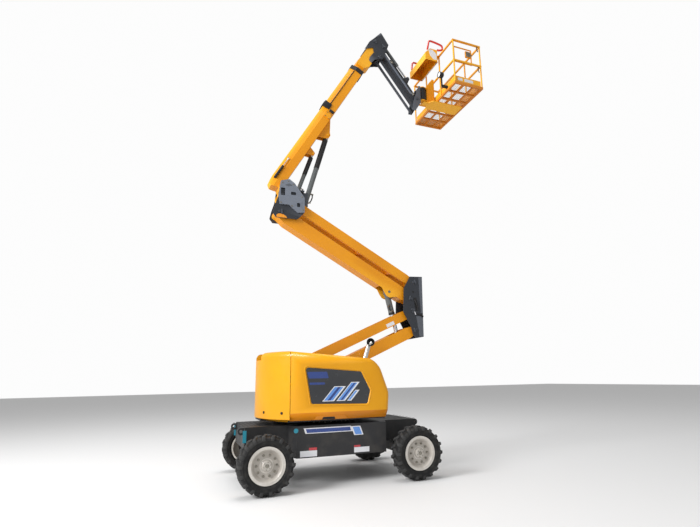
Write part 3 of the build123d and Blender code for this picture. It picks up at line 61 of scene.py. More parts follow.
# %% Camera
camera_place = Vector((-2.5586, -8.4569, 1.6591))
yaw, pitch, roll = radians(22.09), radians(12.05), radians(-1.03)
ahead = Vector((sin(yaw) * cos(pitch), cos(yaw) * cos(pitch), sin(pitch)))
level = Vector((cos(yaw), -sin(yaw), 0.0))
upward = level.cross(ahead)
right_way = level * cos(roll) + upward * sin(roll)
up_way = upward * cos(roll) - level * sin(roll)
camera_data = bpy.data.cameras.new("camera")
camera = bpy.data.objects.new("camera", camera_data)
bpy.context.scene.collection.objects.link(camera)
turn = Matrix((right_way, up_way, -ahead)).transposed().to_4x4()
camera.matrix_world = Matrix.Translation(camera_place) @ turn
camera_data.sensor_width = 36.0
camera_data.lens = 24.08
camera_data.shift_x = -0.0257
camera_data.shift_y = 0.0201
camera_data.clip_end = 100.0
bpy.context.scene.camera = camera
print("camera at", tuple(round(v, 2) for v in camera_place))

# %% [markdown]
# A machine is best read in soft light from one side.  One large area lamp stands high on
# the left as the key, a weaker one stands behind the camera, a third lies overhead so that
# the top faces of the arms are the brightest, and a weak even glow fills the shadows.  The
# camera alone sees a brighter white wall behind the machine, and that wall lights nothing.

# %% Floor, surroundings and lamps
def area_lamp(name, place, target, size, power):
    data = bpy.data.lights.new(name, "AREA")
    data.shape = "RECTANGLE"
    data.size, data.size_y = size
    data.energy = power
    lamp = bpy.data.objects.new(name, data)
    bpy.context.scene.collection.objects.link(lamp)
    lamp.location = place
    lamp.rotation_euler = (Vector(target) - Vector(place)).to_track_quat("-Z", "Y").to_euler()


area_lamp("left_panel", (-13.0, -4.5, 9.0), (0.0, 0.0, 3.5), (6.0, 6.0), 2300)
area_lamp("front_panel", (1.0, -14.0, 6.0), (1.0, 0.0, 3.5), (8.0, 5.0), 130)
area_lamp("top_panel", (-1.0, 1.0, 17.0), (0.5, 0.0, 3.0), (9.0, 9.0), 1250)
glow_strength, wall_strength = 0.52, 0.98
world = bpy.data.worlds.new("surroundings")
bpy.context.scene.world = world
world.use_nodes = True
around = world.node_tree.nodes
soft_fill, white_wall = around["Background"], around.new("ShaderNodeBackground")
for glow, strength in ((soft_fill, glow_strength), (white_wall, wall_strength)):
    glow.inputs["Color"].default_value = (1.0, 1.0, 1.0, 1.0)
    glow.inputs["Strength"].default_value = strength
seen_or_lit, ray_kind = around.new("ShaderNodeMixShader"), around.new("ShaderNodeLightPath")
for output, target in ((ray_kind.outputs["Is Camera Ray"], seen_or_lit.inputs[0]),
                       (soft_fill.outputs[0], seen_or_lit.inputs[1]),
                       (white_wall.outputs[0], seen_or_lit.inputs[2]),
                       (seen_or_lit.outputs[0], around["World Output"].inputs["Surface"])):
    world.node_tree.links.new(output, target)
bpy.context.scene.view_settings.view_transform = "Standard"
print("lamps:", len(bpy.data.lights))

# %% [markdown]
# Every new piece starts as a bmesh, Blender's editable mesh.  One helper closes it into an
# object that sits at the origin with its place in its mesh, gives it a finish, and lets it
# ride on the body that carries it.  Edges sharper than a set angle stay crisp, and the rest
# is shaded smooth.

# %% Making a piece
sides = (("left", 1), ("right", -1))


def smooth_faces(bm, crisp):
    """Smooth faces, with the edges sharper than an angle in degrees left crisp."""
    for edge in bm.edges:
        if len(edge.link_faces) == 2:
            edge.smooth = degrees(edge.calc_face_angle(0.0)) < crisp
    for face in bm.faces:
        face.smooth = True


def mesh_object(name, bm):
    """Closes a bmesh into an object at the origin."""
    mesh = bpy.data.meshes.new(name)
    bm.to_mesh(mesh)
    bm.free()
    made = bpy.data.objects.new(name, mesh)
    bpy.context.scene.collection.objects.link(made)
    return made


def piece(name, bm, body, finish, crisp=32.0):
    """A finished piece that rides on a body and takes the finish it is given."""
    bmesh.ops.recalc_face_normals(bm, faces=bm.faces)
    smooth_faces(bm, crisp)
    made = mesh_object(name, bm)
    made.data.materials.append(finish)
    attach(made, body)
    return made


floor_bm = bmesh.new()
bmesh.ops.create_grid(floor_bm, x_segments=1, y_segments=1, size=60.0)
floor = mesh_object("floor", floor_bm)
print("floor corners:", len(floor.data.vertices))

# %% [markdown]
# Most shapes on a steel machine are bars, tubes and plates.  A turned profile is spun round
# a line, a rod is a cone with two equal radii, a block is a cube with its edges bevelled,
# and a plate is an outline pushed out to its thickness.

# %% Turned, round and flat shapes
def bevel(bm, edges, offset, segments=2):
    bmesh.ops.bevel(bm, geom=list(edges), offset=offset, segments=segments, profile=0.5, affect="EDGES",
                    material=-1)


def axis_frame(start, way):
    """A matrix whose Z axis runs along a direction and whose origin is a point."""
    turn = Vector(way).normalized().to_track_quat("Z", "Y").to_matrix().to_4x4()
    return Matrix.Translation(start) @ turn


def add_rod(bm, start, end, radius, sides=20, edge=0.0):
    """A round bar from one point to another, with its ends' edges broken."""
    start, end = Vector(start), Vector(end)
    shape = bmesh.ops.create_cone(
        bm, cap_ends=True, segments=sides, radius1=radius, radius2=radius, depth=(end - start).length,
        matrix=axis_frame((start + end) / 2, end - start))
    if edge:
        bevel(bm, {e for v in shape["verts"] for e in v.link_edges
                   if any(len(f.verts) > 4 for f in e.link_faces)}, edge)


def add_stack(bm, foot, way, *rows):
    """Rods on one line: each row is from, to, radius, sides and edge, measured from its foot."""
    for low, high, *values in rows:
        add_rod(bm, foot + way * low, foot + way * high, *values)


def add_cube(bm, place, size, edge):
    size = [abs(v) for v in size]
    shape = bmesh.ops.create_cube(bm, size=1.0, matrix=place @ Matrix.Diagonal((*size, 1.0)))
    if edge:
        bevel(bm, {e for v in shape["verts"] for e in v.link_edges}, edge)


def add_block(bm, low, high, edge=0.0, turn=Matrix.Identity(4)):
    """A box between two corners, with broken edges, turned about its middle if asked."""
    low, high = Vector(low), Vector(high)
    add_cube(bm, Matrix.Translation((low + high) / 2) @ turn, high - low, edge)


def add_plate(bm, outline, y_start, y_end):
    """A side outline of (x, z) points pushed from one y to another."""
    face = bm.faces.new([bm.verts.new((x, y_start, z)) for x, z in outline])
    pushed = bmesh.ops.extrude_face_region(bm, geom=[face])
    moved = [v for v in pushed["geom"] if isinstance(v, bmesh.types.BMVert)]
    bmesh.ops.translate(bm, vec=(0, y_end - y_start, 0), verts=moved)


def add_plate_pair(bm, outline, y_start, y_end):
    """The same plate on both sides of the machine."""
    for side in (-1, 1):
        add_plate(bm, outline, side * y_start, side * y_end)


def add_prism(bm, low_points, high_points):
    """Two rows of points closed into a solid."""
    low_row, high_row = ([bm.verts.new(p) for p in points] for points in (low_points, high_points))
    bm.faces.new(low_row)
    bm.faces.new(list(reversed(high_row)))
    for i in range(len(low_row)):
        j = (i + 1) % len(low_row)
        bm.faces.new((low_row[j], low_row[i], high_row[i], high_row[j]))


def closed_line(bm, points):
    """Vertices at the points, and the edges that join them into a closed line."""
    verts = [bm.verts.new(p) for p in points]
    return verts, [bm.edges.new(pair) for pair in zip(verts, verts[1:] + verts[:1])]


def spin_line(bm, points, centre, axis, steps):
    verts, edges = closed_line(bm, points)
    bmesh.ops.spin(bm, geom=verts + edges, cent=centre, axis=axis, angle=2 * pi, steps=steps, use_merge=True)


def add_turned(bm, profile, centre, steps=64):
    """A closed profile of (radius, y) points spun about a line along Y through a centre."""
    points = [(centre[0], centre[1] + y, centre[2] + r) for r, y in profile]
    spin_line(bm, points, centre, (0, 1, 0), steps)


def add_tube(bm, start, way, profile, steps=40):
    """A closed profile of (radius, distance along) spun about a line in any direction."""
    place = axis_frame(start, way)
    spin_line(bm, [place @ Vector((r, 0, d)) for r, d in profile], start, Vector(way).normalized(), steps)


def weld(bm, distance=1e-5):
    bmesh.ops.remove_doubles(bm, verts=bm.verts, dist=distance)


def along(start, angle, distance, square=0.0):
    """A point in the XZ plane: some distance along a direction, and square to it."""
    a = radians(angle)
    return (start[0] + distance * cos(a) - square * sin(a), start[1] + distance * sin(a) + square * cos(a))


def on_line(start, angle, rows):
    """Points from (along, square, y) rows in the directions of an arm."""
    flat = [(along(start, angle, u, v), y) for u, v, y in rows]
    return [(x, y, z) for (x, z), y in flat]


def at_y(point, y):
    return Vector((point[0], y, point[1]))


def shifted(outline, point):
    """An outline that is given from a point, in the machine's own x and z."""
    return [(point[0] + x, point[1] + z) for x, z in outline]


def slope(low, high):
    """The angle in degrees of the line from one (x, z) point to another."""
    return degrees(atan2(high[1] - low[1], high[0] - low[0]))


print("shape helpers: rod, stack, block, plate, prism, turned, tube")

# %% [markdown]
# The hinges of the frame say where each pin is, so the pieces find their places from them
# and not from numbers of their own.

# %% Pins of the frame
pin = {j["name"]: (j["pos_m"][0], j["pos_m"][2]) for j in frame["joints"] if "pos_m" in j}
boom_pin, tip_pin = pin["boom_lift"], pin["head_level"]
jib_pin, jib_end_pin = pin["jib_lift"], pin["jib_end_level"]
boom_angle = 59.5
jib_angle = slope(jib_pin, jib_end_pin)
lower_angle = slope(pin["riser_lift"], pin["middle_upright_pivot"])
print("pins:", len(pin), "angles:", round(jib_angle, 1), round(lower_angle, 1))

# %% [markdown]
# Finishes are built from a few shader nodes.  One helper makes a named material with a
# main shader, a second mixes two colours by a noise, and a third turns a noise into fine
# relief, so that each finish below is only a handful of readable lines.

# %% Helpers for finishes
def add_node(material, kind, **values):
    """A new shader node with its inputs set; an underscore stands for a space in their names."""
    node = material.node_tree.nodes.new(f"ShaderNode{kind}")
    for name, value in values.items():
        node.inputs[name.replace("_", " ")].default_value = value
    return node


def link(material, output, target):
    material.node_tree.links.new(output, target)


def new_finish(name, colour, roughness, metallic=0.0, coat=0.0):
    material = bpy.data.materials.new(name)
    material.use_nodes = True
    shader = material.node_tree.nodes["Principled BSDF"]
    for socket, value in (("Base Color", (*colour, 1.0)), ("Roughness", roughness), ("Metallic", metallic),
                          ("Coat Weight", coat), ("Coat Roughness", 0.12)):
        shader.inputs[socket].default_value = value
    return material, shader


def place_noise(material, scale, detail=3.0, stretch=(1, 1, 1)):
    """A noise that is read in the piece's own metres."""
    where = add_node(material, "TexCoord")
    mapping = add_node(material, "Mapping", Scale=stretch)
    noise = add_node(material, "TexNoise", Scale=scale, Detail=detail)
    link(material, where.outputs["Object"], mapping.inputs["Vector"])
    link(material, mapping.outputs["Vector"], noise.inputs["Vector"])
    return noise.outputs["Fac"]


def spread(material, value, low, high, to_low=0.0, to_high=1.0):
    """Maps a value from one range to another."""
    node = add_node(material, "MapRange", From_Min=low, From_Max=high, To_Min=to_low, To_Max=to_high)
    link(material, value, node.inputs["Value"])
    return node.outputs["Result"]


def tint(material, factor, first, second):
    """Mixes two colours, or a colour socket and a colour, by a factor."""
    node = add_node(material, "Mix")
    node.data_type = "RGBA"
    link(material, factor, node.inputs["Factor"])
    for socket, colour in (("A", first), ("B", second)):
        target = [s for s in node.inputs if s.name == socket and s.type == "RGBA"][0]
        if isinstance(colour, tuple):
            target.default_value = (*colour, 1.0)
        else:
            link(material, colour, target)
    return [s for s in node.outputs if s.type == "RGBA"][0]


def relief(material, shader, height, depth, strength=0.4):
    node = add_node(material, "Bump", Strength=strength, Distance=depth)
    link(material, height, node.inputs["Height"])
    link(material, node.outputs["Normal"], shader.inputs["Normal"])


def height_share(material, low, high):
    """0 to 1 with the height above the floor, for dust and splash low on the machine."""
    where, split = add_node(material, "TexCoord"), add_node(material, "SeparateXYZ")
    link(material, where.outputs["Object"], split.inputs["Vector"])
    return spread(material, split.outputs["Z"], low, high)


def edges_worn_and_highlit(material, colour, worn_and_highlit, low=0.52, high=0.62):
    """Paints a paler colour where the surface bends outwards: partly rubbed wear, partly a painted highlight
    on the edges.
    """
    bend = add_node(material, "NewGeometry")
    return tint(material, spread(material, bend.outputs["Pointiness"], low, high), colour, worn_and_highlit)


print("finish helpers: noise, spread, tint, relief, height share, worn edges")

# %% [markdown]
# Machine paint is thick, glossy and slightly uneven: a clear top layer over a colour that
# drifts a little from panel to panel, with a fine orange-peel relief and a paler tone along
# the edges, partly rubbed wear and partly a painted highlight where the edges catch the
# light.  Each colour is the same recipe with other numbers.

# %% Paints
dust_colour = (0.20, 0.175, 0.14)


def paint(name, colour, shade, roughness=0.42, coat=0.1, peel=0.0006, rubbed_and_highlit=None, dust=0.0):
    material, shader = new_finish(name, colour, roughness, coat=coat)
    shader.inputs["Specular IOR Level"].default_value = 0.32
    drift = spread(material, place_noise(material, 1.3, 4.0), 0.35, 0.7)
    colour_out = tint(material, drift, colour, shade)
    if rubbed_and_highlit:
        colour_out = edges_worn_and_highlit(material, colour_out, rubbed_and_highlit)
    if dust:
        low_down = height_share(material, 1.0, 0.1)
        patchy = add_node(material, "Math")
        patchy.operation = "MULTIPLY"
        link(material, low_down, patchy.inputs[0])
        spots = spread(material, place_noise(material, 5.0, 6.0), 0.45, 0.8, 0.0, dust)
        link(material, spots, patchy.inputs[1])
        colour_out = tint(material, patchy.outputs[0], colour_out, dust_colour)
    link(material, colour_out, shader.inputs["Base Color"])
    rough = spread(material, place_noise(material, 9.0, 5.0), 0.3, 0.75, roughness - 0.06, roughness + 0.1)
    link(material, rough, shader.inputs["Roughness"])
    relief(material, shader, place_noise(material, 240.0, 2.0), peel, 0.25)
    return material


# The rubbed colours are paler edges: partly wear, partly a painted highlight on the lit edges.
yellow_paint = paint("yellow_paint", (0.80, 0.320, 0.004), (0.70, 0.255, 0.004), rubbed_and_highlit=(0.92, 0.44, 0.02))
orange_paint = paint("orange_paint", (0.62, 0.20, 0.008), (0.50, 0.145, 0.006), rubbed_and_highlit=(0.80, 0.30, 0.02))
dark_paint = paint("dark_paint", (0.036, 0.041, 0.050), (0.025, 0.028, 0.035), 0.44, 0.15,
                   rubbed_and_highlit=(0.10, 0.11, 0.13))
chassis_paint = paint("chassis_paint", (0.0070, 0.0080, 0.0085), (0.0045, 0.0052, 0.0056), 0.5, 0.0,
                      rubbed_and_highlit=(0.03, 0.03, 0.032), dust=0.35)
blue_grey_paint = paint("blue_grey_paint", (0.088, 0.098, 0.125), (0.068, 0.077, 0.100), 0.42, 0.15,
                        rubbed_and_highlit=(0.17, 0.19, 0.23))
cylinder_paint = paint("cylinder_paint", (0.125, 0.135, 0.135), (0.09, 0.098, 0.10), 0.4, 0.3)
red_paint = paint("red_paint", (0.62, 0.04, 0.03), (0.5, 0.03, 0.02), 0.35, 0.4)
rim_paint = paint("rim_paint", (0.50, 0.465, 0.42), (0.40, 0.37, 0.33), 0.42, 0.15,
                  rubbed_and_highlit=(0.68, 0.65, 0.60), dust=0.6)
print("paints:", len(bpy.data.materials))

# %% [markdown]
# The hoods are moulded shells, smoother and brighter than the welded steel, with a soft
# lit top edge.  The panes in them are dark and glossy like smoked plastic.

# %% Moulded plastics
hood_shell = paint("hood_shell", (0.78, 0.352, 0.0015), (0.72, 0.305, 0.0015), 0.34, 0.14, 0.0003)
pane_plastic = paint("pane_plastic", (0.045, 0.047, 0.050), (0.032, 0.034, 0.038), 0.2, 0.6, 0.0002)
black_plastic = paint("black_plastic", (0.014, 0.014, 0.015), (0.02, 0.02, 0.021), 0.55, 0.0, 0.0008)
hose_rubber = paint("hose_rubber", (0.012, 0.012, 0.013), (0.022, 0.022, 0.023), 0.5, 0.0, 0.0008)
print("paints and plastics:", len(bpy.data.materials))

# %% [markdown]
# Rubber is matt, a little grey with dust where it is low, and has a fine grain.  Rods are
# hard chrome, the exhaust is bare brushed steel and the deck is worn galvanised plate.

# %% Rubber and bare metals
rubber, rubber_shader = new_finish("tyre_rubber", (0.014, 0.014, 0.015), 0.75)
rubber_shader.inputs["Specular IOR Level"].default_value = 0.3
dusty = spread(rubber, place_noise(rubber, 14.0, 6.0), 0.42, 0.8)
grey_black = tint(rubber, dusty, (0.009, 0.009, 0.0095), (0.030, 0.029, 0.027))
# The paler lug edges are partly scuffed rubber, partly a painted highlight.
link(rubber, edges_worn_and_highlit(rubber, grey_black, (0.085, 0.085, 0.085)), rubber_shader.inputs["Base Color"])
relief(rubber, rubber_shader, place_noise(rubber, 320.0, 3.0), 0.0012, 0.5)

chrome, chrome_shader = new_finish("rod_chrome", (0.74, 0.75, 0.77), 0.12, 1.0)
streaks = spread(chrome, place_noise(chrome, 60.0, 2.0, (1, 1, 0.1)), 0.3, 0.7, 0.08, 0.22)
link(chrome, streaks, chrome_shader.inputs["Roughness"])

brushed, brushed_shader = new_finish("exhaust_steel", (0.62, 0.61, 0.58), 0.35, 1.0)
relief(brushed, brushed_shader, place_noise(brushed, 90.0, 3.0, (1, 1, 12)), 0.0006, 0.3)

galvanised, galvanised_shader = new_finish("galvanised_plate", (0.45, 0.46, 0.47), 0.45, 0.85)
spangle = spread(galvanised, place_noise(galvanised, 38.0, 1.0), 0.35, 0.65)
link(galvanised, tint(galvanised, spangle, (0.34, 0.35, 0.36), (0.52, 0.53, 0.54)),
     galvanised_shader.inputs["Base Color"])

zinc, zinc_shader = new_finish("zinc_plate", (0.30, 0.29, 0.25), 0.38, 0.9)
clouds = spread(zinc, place_noise(zinc, 60.0, 3.0), 0.35, 0.7)
link(zinc, tint(zinc, clouds, (0.34, 0.32, 0.27), (0.17, 0.16, 0.14)), zinc_shader.inputs["Base Color"])

iron, iron_shader = new_finish("engine_iron", (0.07, 0.07, 0.075), 0.6, 0.4)
relief(iron, iron_shader, place_noise(iron, 120.0, 4.0), 0.001, 0.4)
print("all finishes so far:", len(bpy.data.materials))

# %% [markdown]
# Each solid part now gets its finish.  A table of finish and part names keeps this to one
# loop, and a part that a detailed piece replaces later still gets one, so that nothing is
# left plain.

# %% Finishes on the solid parts
finish_of = [
    (yellow_paint, ("riser_lower_arm", "riser_lower_link", "riser_upper_arm", "riser_upper_link",
                    "boom_outer", "boom_inner", "platform_support", "platform_posts", "platform_mid_rail",
                    "platform_top_rail", "platform_toe_board", "platform_gate", "control_console")),
    (orange_paint, ("platform_floor",)),
    (hood_shell, ("counterweight", "cover_left", "cover_right")),
    (pane_plastic, ("cover_window_left", "cover_window_right")),
    (chassis_paint, ("chassis_frame", "drive_axle", "steer_axle", "steer_knuckle_left",
                     "steer_knuckle_right", "slew_ring", "turntable_frame", "steer_cylinder", "tie_rod")),
    (dark_paint, ("mid_upright", "upper_upright", "tip_knuckle", "jib_arm", "jib_link", "jib_end_bracket")),
    (cylinder_paint, [f"{place}_cylinder_barrel" for place in ("riser", "lift", "level", "jib")]),
    (blue_grey_paint, ("upright_cover",)),
    (chrome, [f"{place}_cylinder_rod" for place in ("riser", "lift", "level", "jib", "steer")]),
    (black_plastic, ("boom_collar", "work_lamp", "rotator")),
    (red_paint, ("safety_bar",)),
    (brushed, ("exhaust_pipe",)),
    (galvanised, ("platform_deck",)),
    (iron, ("engine_block",)),
]
corners = ("drive_left", "drive_right", "steer_left", "steer_right")
finish_of += [(rubber, [f"tyre_{corner}" for corner in corners]),
              (rim_paint, [f"rim_{corner}" for corner in corners])]
for finish, names in finish_of:
    for name in names:
        if name in nodes:
            for slot in nodes[name].material_slots:
                slot.material = finish
floor.data.materials.append(new_finish("floor_finish", (0.74, 0.74, 0.74), 0.6)[0])
print("finished parts:", sum(len(names) for finish, names in finish_of))

# %% [markdown]
# A tyre for rough ground has a round carcass and two rows of heavy rubber bars.  The carcass
# is one closed profile turned round the axle: bead, bulging side wall, shoulder and crown.
# A profile and a spin give it clean, even side walls, which a sculpted ring would not.

# %% Tyre carcass
axle_height = 0.4275
wheel_x, wheel_y = 1.25, 1.0925
wheel_places = {f"{axle}_{tag}": (Vector((end * wheel_x, side * wheel_y, axle_height)), Vector((0, side, 0)))
                for axle, end in (("drive", 1), ("steer", -1)) for tag, side in sides}
carcass_half = [
    # radius, distance from the middle: from the bead out to the crown
    (0.2545, 0.117), (0.272, 0.1185), (0.284, 0.1285), (0.296, 0.1405), (0.306, 0.1435), (0.310, 0.1455),
    (0.316, 0.1435), (0.330, 0.1475), (0.348, 0.1485), (0.352, 0.1505), (0.357, 0.1480), (0.372, 0.1410),
    (0.386, 0.1300), (0.396, 0.1140), (0.4010, 0.0850), (0.4030, 0.0450), (0.4035, 0.0),
]
carcass = carcass_half + [(r, -y) for r, y in reversed(carcass_half[:-1])]
print("carcass points:", len(carcass))

# %% [markdown]
# One rubber bar is drawn as a section across the tyre, pushed to its width, sheared so that
# it slants over the tread, and given worn, rounded edges.  It is then copied round the
# wheel, and the second row is the mirrored first row turned by half a step, as tread rows
# are staggered on the real tyre.

# %% Tread bars
lugs_a_row = 18
lug_section = [
    # distance from the middle, radius
    (-0.008, 0.392), (-0.008, 0.4262), (0.060, 0.4262), (0.118, 0.4235), (0.140, 0.4125), (0.1515, 0.389),
    (0.1520, 0.364), (0.147, 0.352), (0.138, 0.356), (0.118, 0.385),
]
lug_foot, lug_top, lug_slant, lug_edge = 0.060, 0.046, 0.42, 0.005
wide_above, wide_outside, straight_outside, lug_shift = 0.405, 0.14, 0.118, 0.026


def tread_bar(side):
    """One tread bar at the top of a wheel that is centred on the origin, as a mesh to copy."""
    bm = bmesh.new()
    rows = []
    for end in (-1, 1):
        row = []
        for y, r in lug_section:
            wide = lug_top if r > wide_above or y > wide_outside else lug_foot
            slant = lug_slant * max(0.0, straight_outside - y)
            row.append((end * wide / 2 + slant - lug_shift, side * y, r))
        rows.append(row)
    add_prism(bm, *rows)
    bmesh.ops.recalc_face_normals(bm, faces=bm.faces)
    bevel(bm, [e for e in bm.edges if sum(v.co.z for v in e.verts) / 2 > 0.36
               and e.calc_face_angle(0.0) > radians(35)], lug_edge)
    mesh = bpy.data.meshes.new("tread_bar")
    bm.to_mesh(mesh)
    bm.free()
    return mesh


bars = {side: tread_bar(side) for side in (-1, 1)}
for name, (centre, out) in wheel_places.items():
    bm = bmesh.new()
    add_turned(bm, carcass, centre, 72)
    weld(bm)
    for side in (-1, 1):
        for i in range(lugs_a_row):
            bar = bars[side].copy()
            turn = Matrix.Rotation((i + 0.25 * side) * 2 * pi / lugs_a_row, 4, "Y")
            bar.transform(Matrix.Translation(centre) @ turn)
            bm.from_mesh(bar)
            bpy.data.meshes.remove(bar)
    made = piece(f"tread_tyre_{name}", bm, f"wheel_{name}", rubber, crisp=40.0)
    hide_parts(f"tyre_{name}")
print("tyre faces:", len(made.data.polygons))

# %% [markdown]
# The pressed wheel centre is held by a ring of nuts round the hub cap.  The cap has its own
# small screws, and slots between the nuts let the brake breathe.  The slots are drawn as
# dark, shallow caps, painted shade for the insides of the holes, because the wheel itself
# is a finished solid.

# %% Wheel nuts, hub screws and slots
disc_face, cap_face = 0.077, 0.128
nut_ring, screw_ring, slot_ring = 0.150, 0.052, 0.196


def ring_places(centre, radius, count, start=0.0):
    for i in range(count):
        a = start + 2 * pi * i / count
        yield Vector((centre[0] + radius * cos(a), centre[1], centre[2] + radius * sin(a)))


for name, (centre, out) in wheel_places.items():
    bm = bmesh.new()
    for place in ring_places(centre, nut_ring, 10):
        add_stack(bm, place + out * disc_face, out, (-0.001, 0.004, 0.021, 20, 0.001),
                  (0.003, 0.022, 0.0155, 6, 0.002), (0.020, 0.033, 0.008, 12, 0.001))
    for place in ring_places(centre, screw_ring, 6, 0.3):
        add_stack(bm, place, out, (cap_face, 0.135, 0.0085, 6, 0.001))
    add_stack(bm, centre, out, (cap_face, 0.1315, 0.030, 32, 0.001))
    piece(f"wheel_nuts_{name}", bm, f"wheel_{name}", zinc)
    bm = bmesh.new()
    rim_lip = [(0.0835, 0.0765), (0.0835, 0.082), (0.101, 0.082), (0.104, 0.0765)]
    add_turned(bm, [(r, out.y * y) for r, y in rim_lip], centre, 56)
    piece(f"hub_ring_{name}", bm, f"wheel_{name}", rim_paint)
    bm = bmesh.new()
    # Dark caps of painted shade stand for the insides of the slots.
    for i in range(5):
        for k in (-1, 0, 1):
            a = 2 * pi * (i + 0.25) / 5 + 0.075 * k
            spot = centre + slot_ring * Vector((cos(a), 0, sin(a)))
            add_stack(bm, spot, out, (0.070, disc_face + 0.0012, 0.0125, 16))
    piece(f"wheel_slot_painted_shade_{name}", bm, f"wheel_{name}", black_plastic)
print("nuts a wheel:", 10)

# %% [markdown]
# Each side of the machine is covered by one large moulded hood.  It is a thin shell, open
# below, behind and towards the arms, with wide soft corners and a lower edge that leans in.
# The outline is pushed out to a block, its corners are bevelled widely, the open sides are
# taken off, a hole is left for the pane, and a Solidify modifier gives the wall.

# %% Hood outline
hood_outline = [(-0.856, 1.006), (0.842, 1.006), (0.874, 1.410), (0.716, 1.846), (0.566, 1.985),
                (-0.856, 2.100)]
hood_out, hood_in, hood_foot = 0.920, 0.360, 1.006
hood_corner, hood_lean, hood_lean_top, hood_wall = 0.085, 0.045, 1.126, 0.010
pane_outline = [(-0.618, 1.838), (-0.515, 1.259), (0.451, 1.233), (0.505, 1.452), (0.344, 1.762)]


def corners_of(outline):
    """Each corner of an outline with the ones before and after it."""
    return zip(outline[-1:] + outline[:-1], outline, outline[1:] + outline[:1])


def widened(outline, amount):
    """The outline moved outwards by an amount, corner by corner."""
    area = sum(a[0] * b[1] - b[0] * a[1] for a, b in zip(outline, outline[1:] + outline[:1]))
    sign = 1 if area > 0 else -1
    grown = []
    for before, here, after in corners_of(outline):
        n1, n2 = (Vector((d.y, -d.x)).normalized() * sign
                  for d in (Vector(here) - Vector(before), Vector(after) - Vector(here)))
        mid = (n1 + n2).normalized()
        grown.append(tuple(Vector(here) + mid * (amount / max(0.2, mid.dot(n1)))))
    return grown


def rounded(outline, radius, steps=6):
    """The outline with each corner turned into a short arc."""
    points = []
    for before, here, after in corners_of(outline):
        here = Vector(here)
        a = (Vector(before) - here).normalized()
        b = (Vector(after) - here).normalized()
        half = a.angle(b) / 2
        reach = radius * cos(half) / sin(half)
        middle = here + (a + b).normalized() * radius / sin(half)
        start, end = here + a * reach - middle, here + b * reach - middle
        whole = start.angle_signed(end)
        points += [tuple(middle + Matrix.Rotation(-whole * i / steps, 2) @ start) for i in range(steps + 1)]
    return points


print("pane corners:", len(rounded(pane_outline, 0.04)))

# %% [markdown]
# The hole in the hood is framed by a low raised lip that slopes down to the pane.  Three
# rings of points are bridged for it, and the flat side between the hood's edge and the
# first ring is filled in with triangles, which is the operator's way to fill round a hole.

# %% Hood shells
# The low band takes a darker orange: painted shade for the band that leans in under the hood.
hood_band_painted_shade = paint("hood_band_painted_shade", (0.66, 0.225, 0.004), (0.58, 0.19, 0.004), 0.4, 0.2, 0.0003)
lip_rings = [
    # how far the pane's outline is widened, corner radius, distance from the middle plane
    (0.030, 0.055, hood_out), (0.022, 0.052, hood_out + 0.005), (0.0, 0.040, 0.9172),
]


def open_sides(x_limit, z_limit, y_slack):
    """A test for faces and edges that lie behind, below or on the inner side of the hood."""
    return lambda part: (all(v.co.z < z_limit for v in part.verts)
                         or all(v.co.x < x_limit for v in part.verts)
                         or all(abs(v.co.y) < hood_in + y_slack for v in part.verts))


def lean_band(bm, side):
    """Draws the low band in towards its foot, and the front of it back a little."""
    for vert in bm.verts:
        if vert.co.z < hood_foot + 0.004:
            share = min(1.0, max(0.0, (abs(vert.co.y) - 0.80) / 0.10))
            vert.co.y -= side * hood_lean * share
            if vert.co.x > 0.6:
                vert.co.x -= 0.018


def frame_pane(bm, side):
    """Leaves a hole for the pane in the flat side, with a raised lip round it."""
    flat = [f for f in bm.faces if all(abs(abs(v.co.y) - hood_out) < 1e-5 for v in f.verts)
            and f.calc_center_median().z > hood_lean_top]
    shared = [edge for face in flat for edge in face.edges]
    border = [edge for edge in dict.fromkeys(shared) if shared.count(edge) == 1]
    bmesh.ops.delete(bm, geom=flat, context="FACES_ONLY")
    before = None
    for grow, radius, y in lip_rings:
        outline = rounded(widened(pane_outline, grow) if grow else pane_outline, radius)
        edges = closed_line(bm, [(x, side * y, z) for x, z in outline])[1]
        if before is None:
            bmesh.ops.triangle_fill(bm, edges=border + edges, use_beauty=True, normal=(0, side, 0))
        else:
            bmesh.ops.bridge_loops(bm, edges=before + edges)
        before = edges


def hood(name, side):
    bm = bmesh.new()
    add_plate(bm, hood_outline, side * hood_out, side * hood_in)
    weld(bm, 1e-6)
    hard = open_sides(-0.85, 1.05, 0.01)
    bevel(bm, [e for e in bm.edges if not hard(e)], hood_corner, 7)
    gone = open_sides(-0.855, hood_foot + 0.001, 0.001)
    bmesh.ops.delete(bm, geom=[f for f in bm.faces if gone(f)], context="FACES")
    bmesh.ops.bisect_plane(bm, geom=bm.verts[:] + bm.edges[:] + bm.faces[:],
                           plane_co=(0, 0, hood_lean_top), plane_no=(0, 0, 1))
    lean_band(bm, side)
    frame_pane(bm, side)
    bmesh.ops.recalc_face_normals(bm, faces=bm.faces)
    if max(bm.faces, key=lambda f: f.calc_center_median().z).normal.z < 0:
        bmesh.ops.reverse_faces(bm, faces=bm.faces)
    smooth_faces(bm, 14)
    # Faces of the leaning band get the darker orange of painted shade.
    for face in bm.faces:
        face.material_index = 1 if face.calc_center_median().z < hood_lean_top else 0
    made = mesh_object(f"hood_{name}", bm)
    wall = made.modifiers.new("wall", "SOLIDIFY")
    wall.thickness, wall.offset = hood_wall, -1
    made.data.materials.append(hood_shell)
    made.data.materials.append(hood_band_painted_shade)
    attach(made, f"{name}_cover")
    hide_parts(f"cover_{name}")
    return made


for name, side in sides:
    made = hood(name, side)
print("hood faces:", len(made.data.polygons))

# %% [markdown]
# The hood hangs on three hinge barrels along its top edge, which the hood's own piece has to
# carry because it stands for the solid one.  A short tab ties each barrel to the shell.

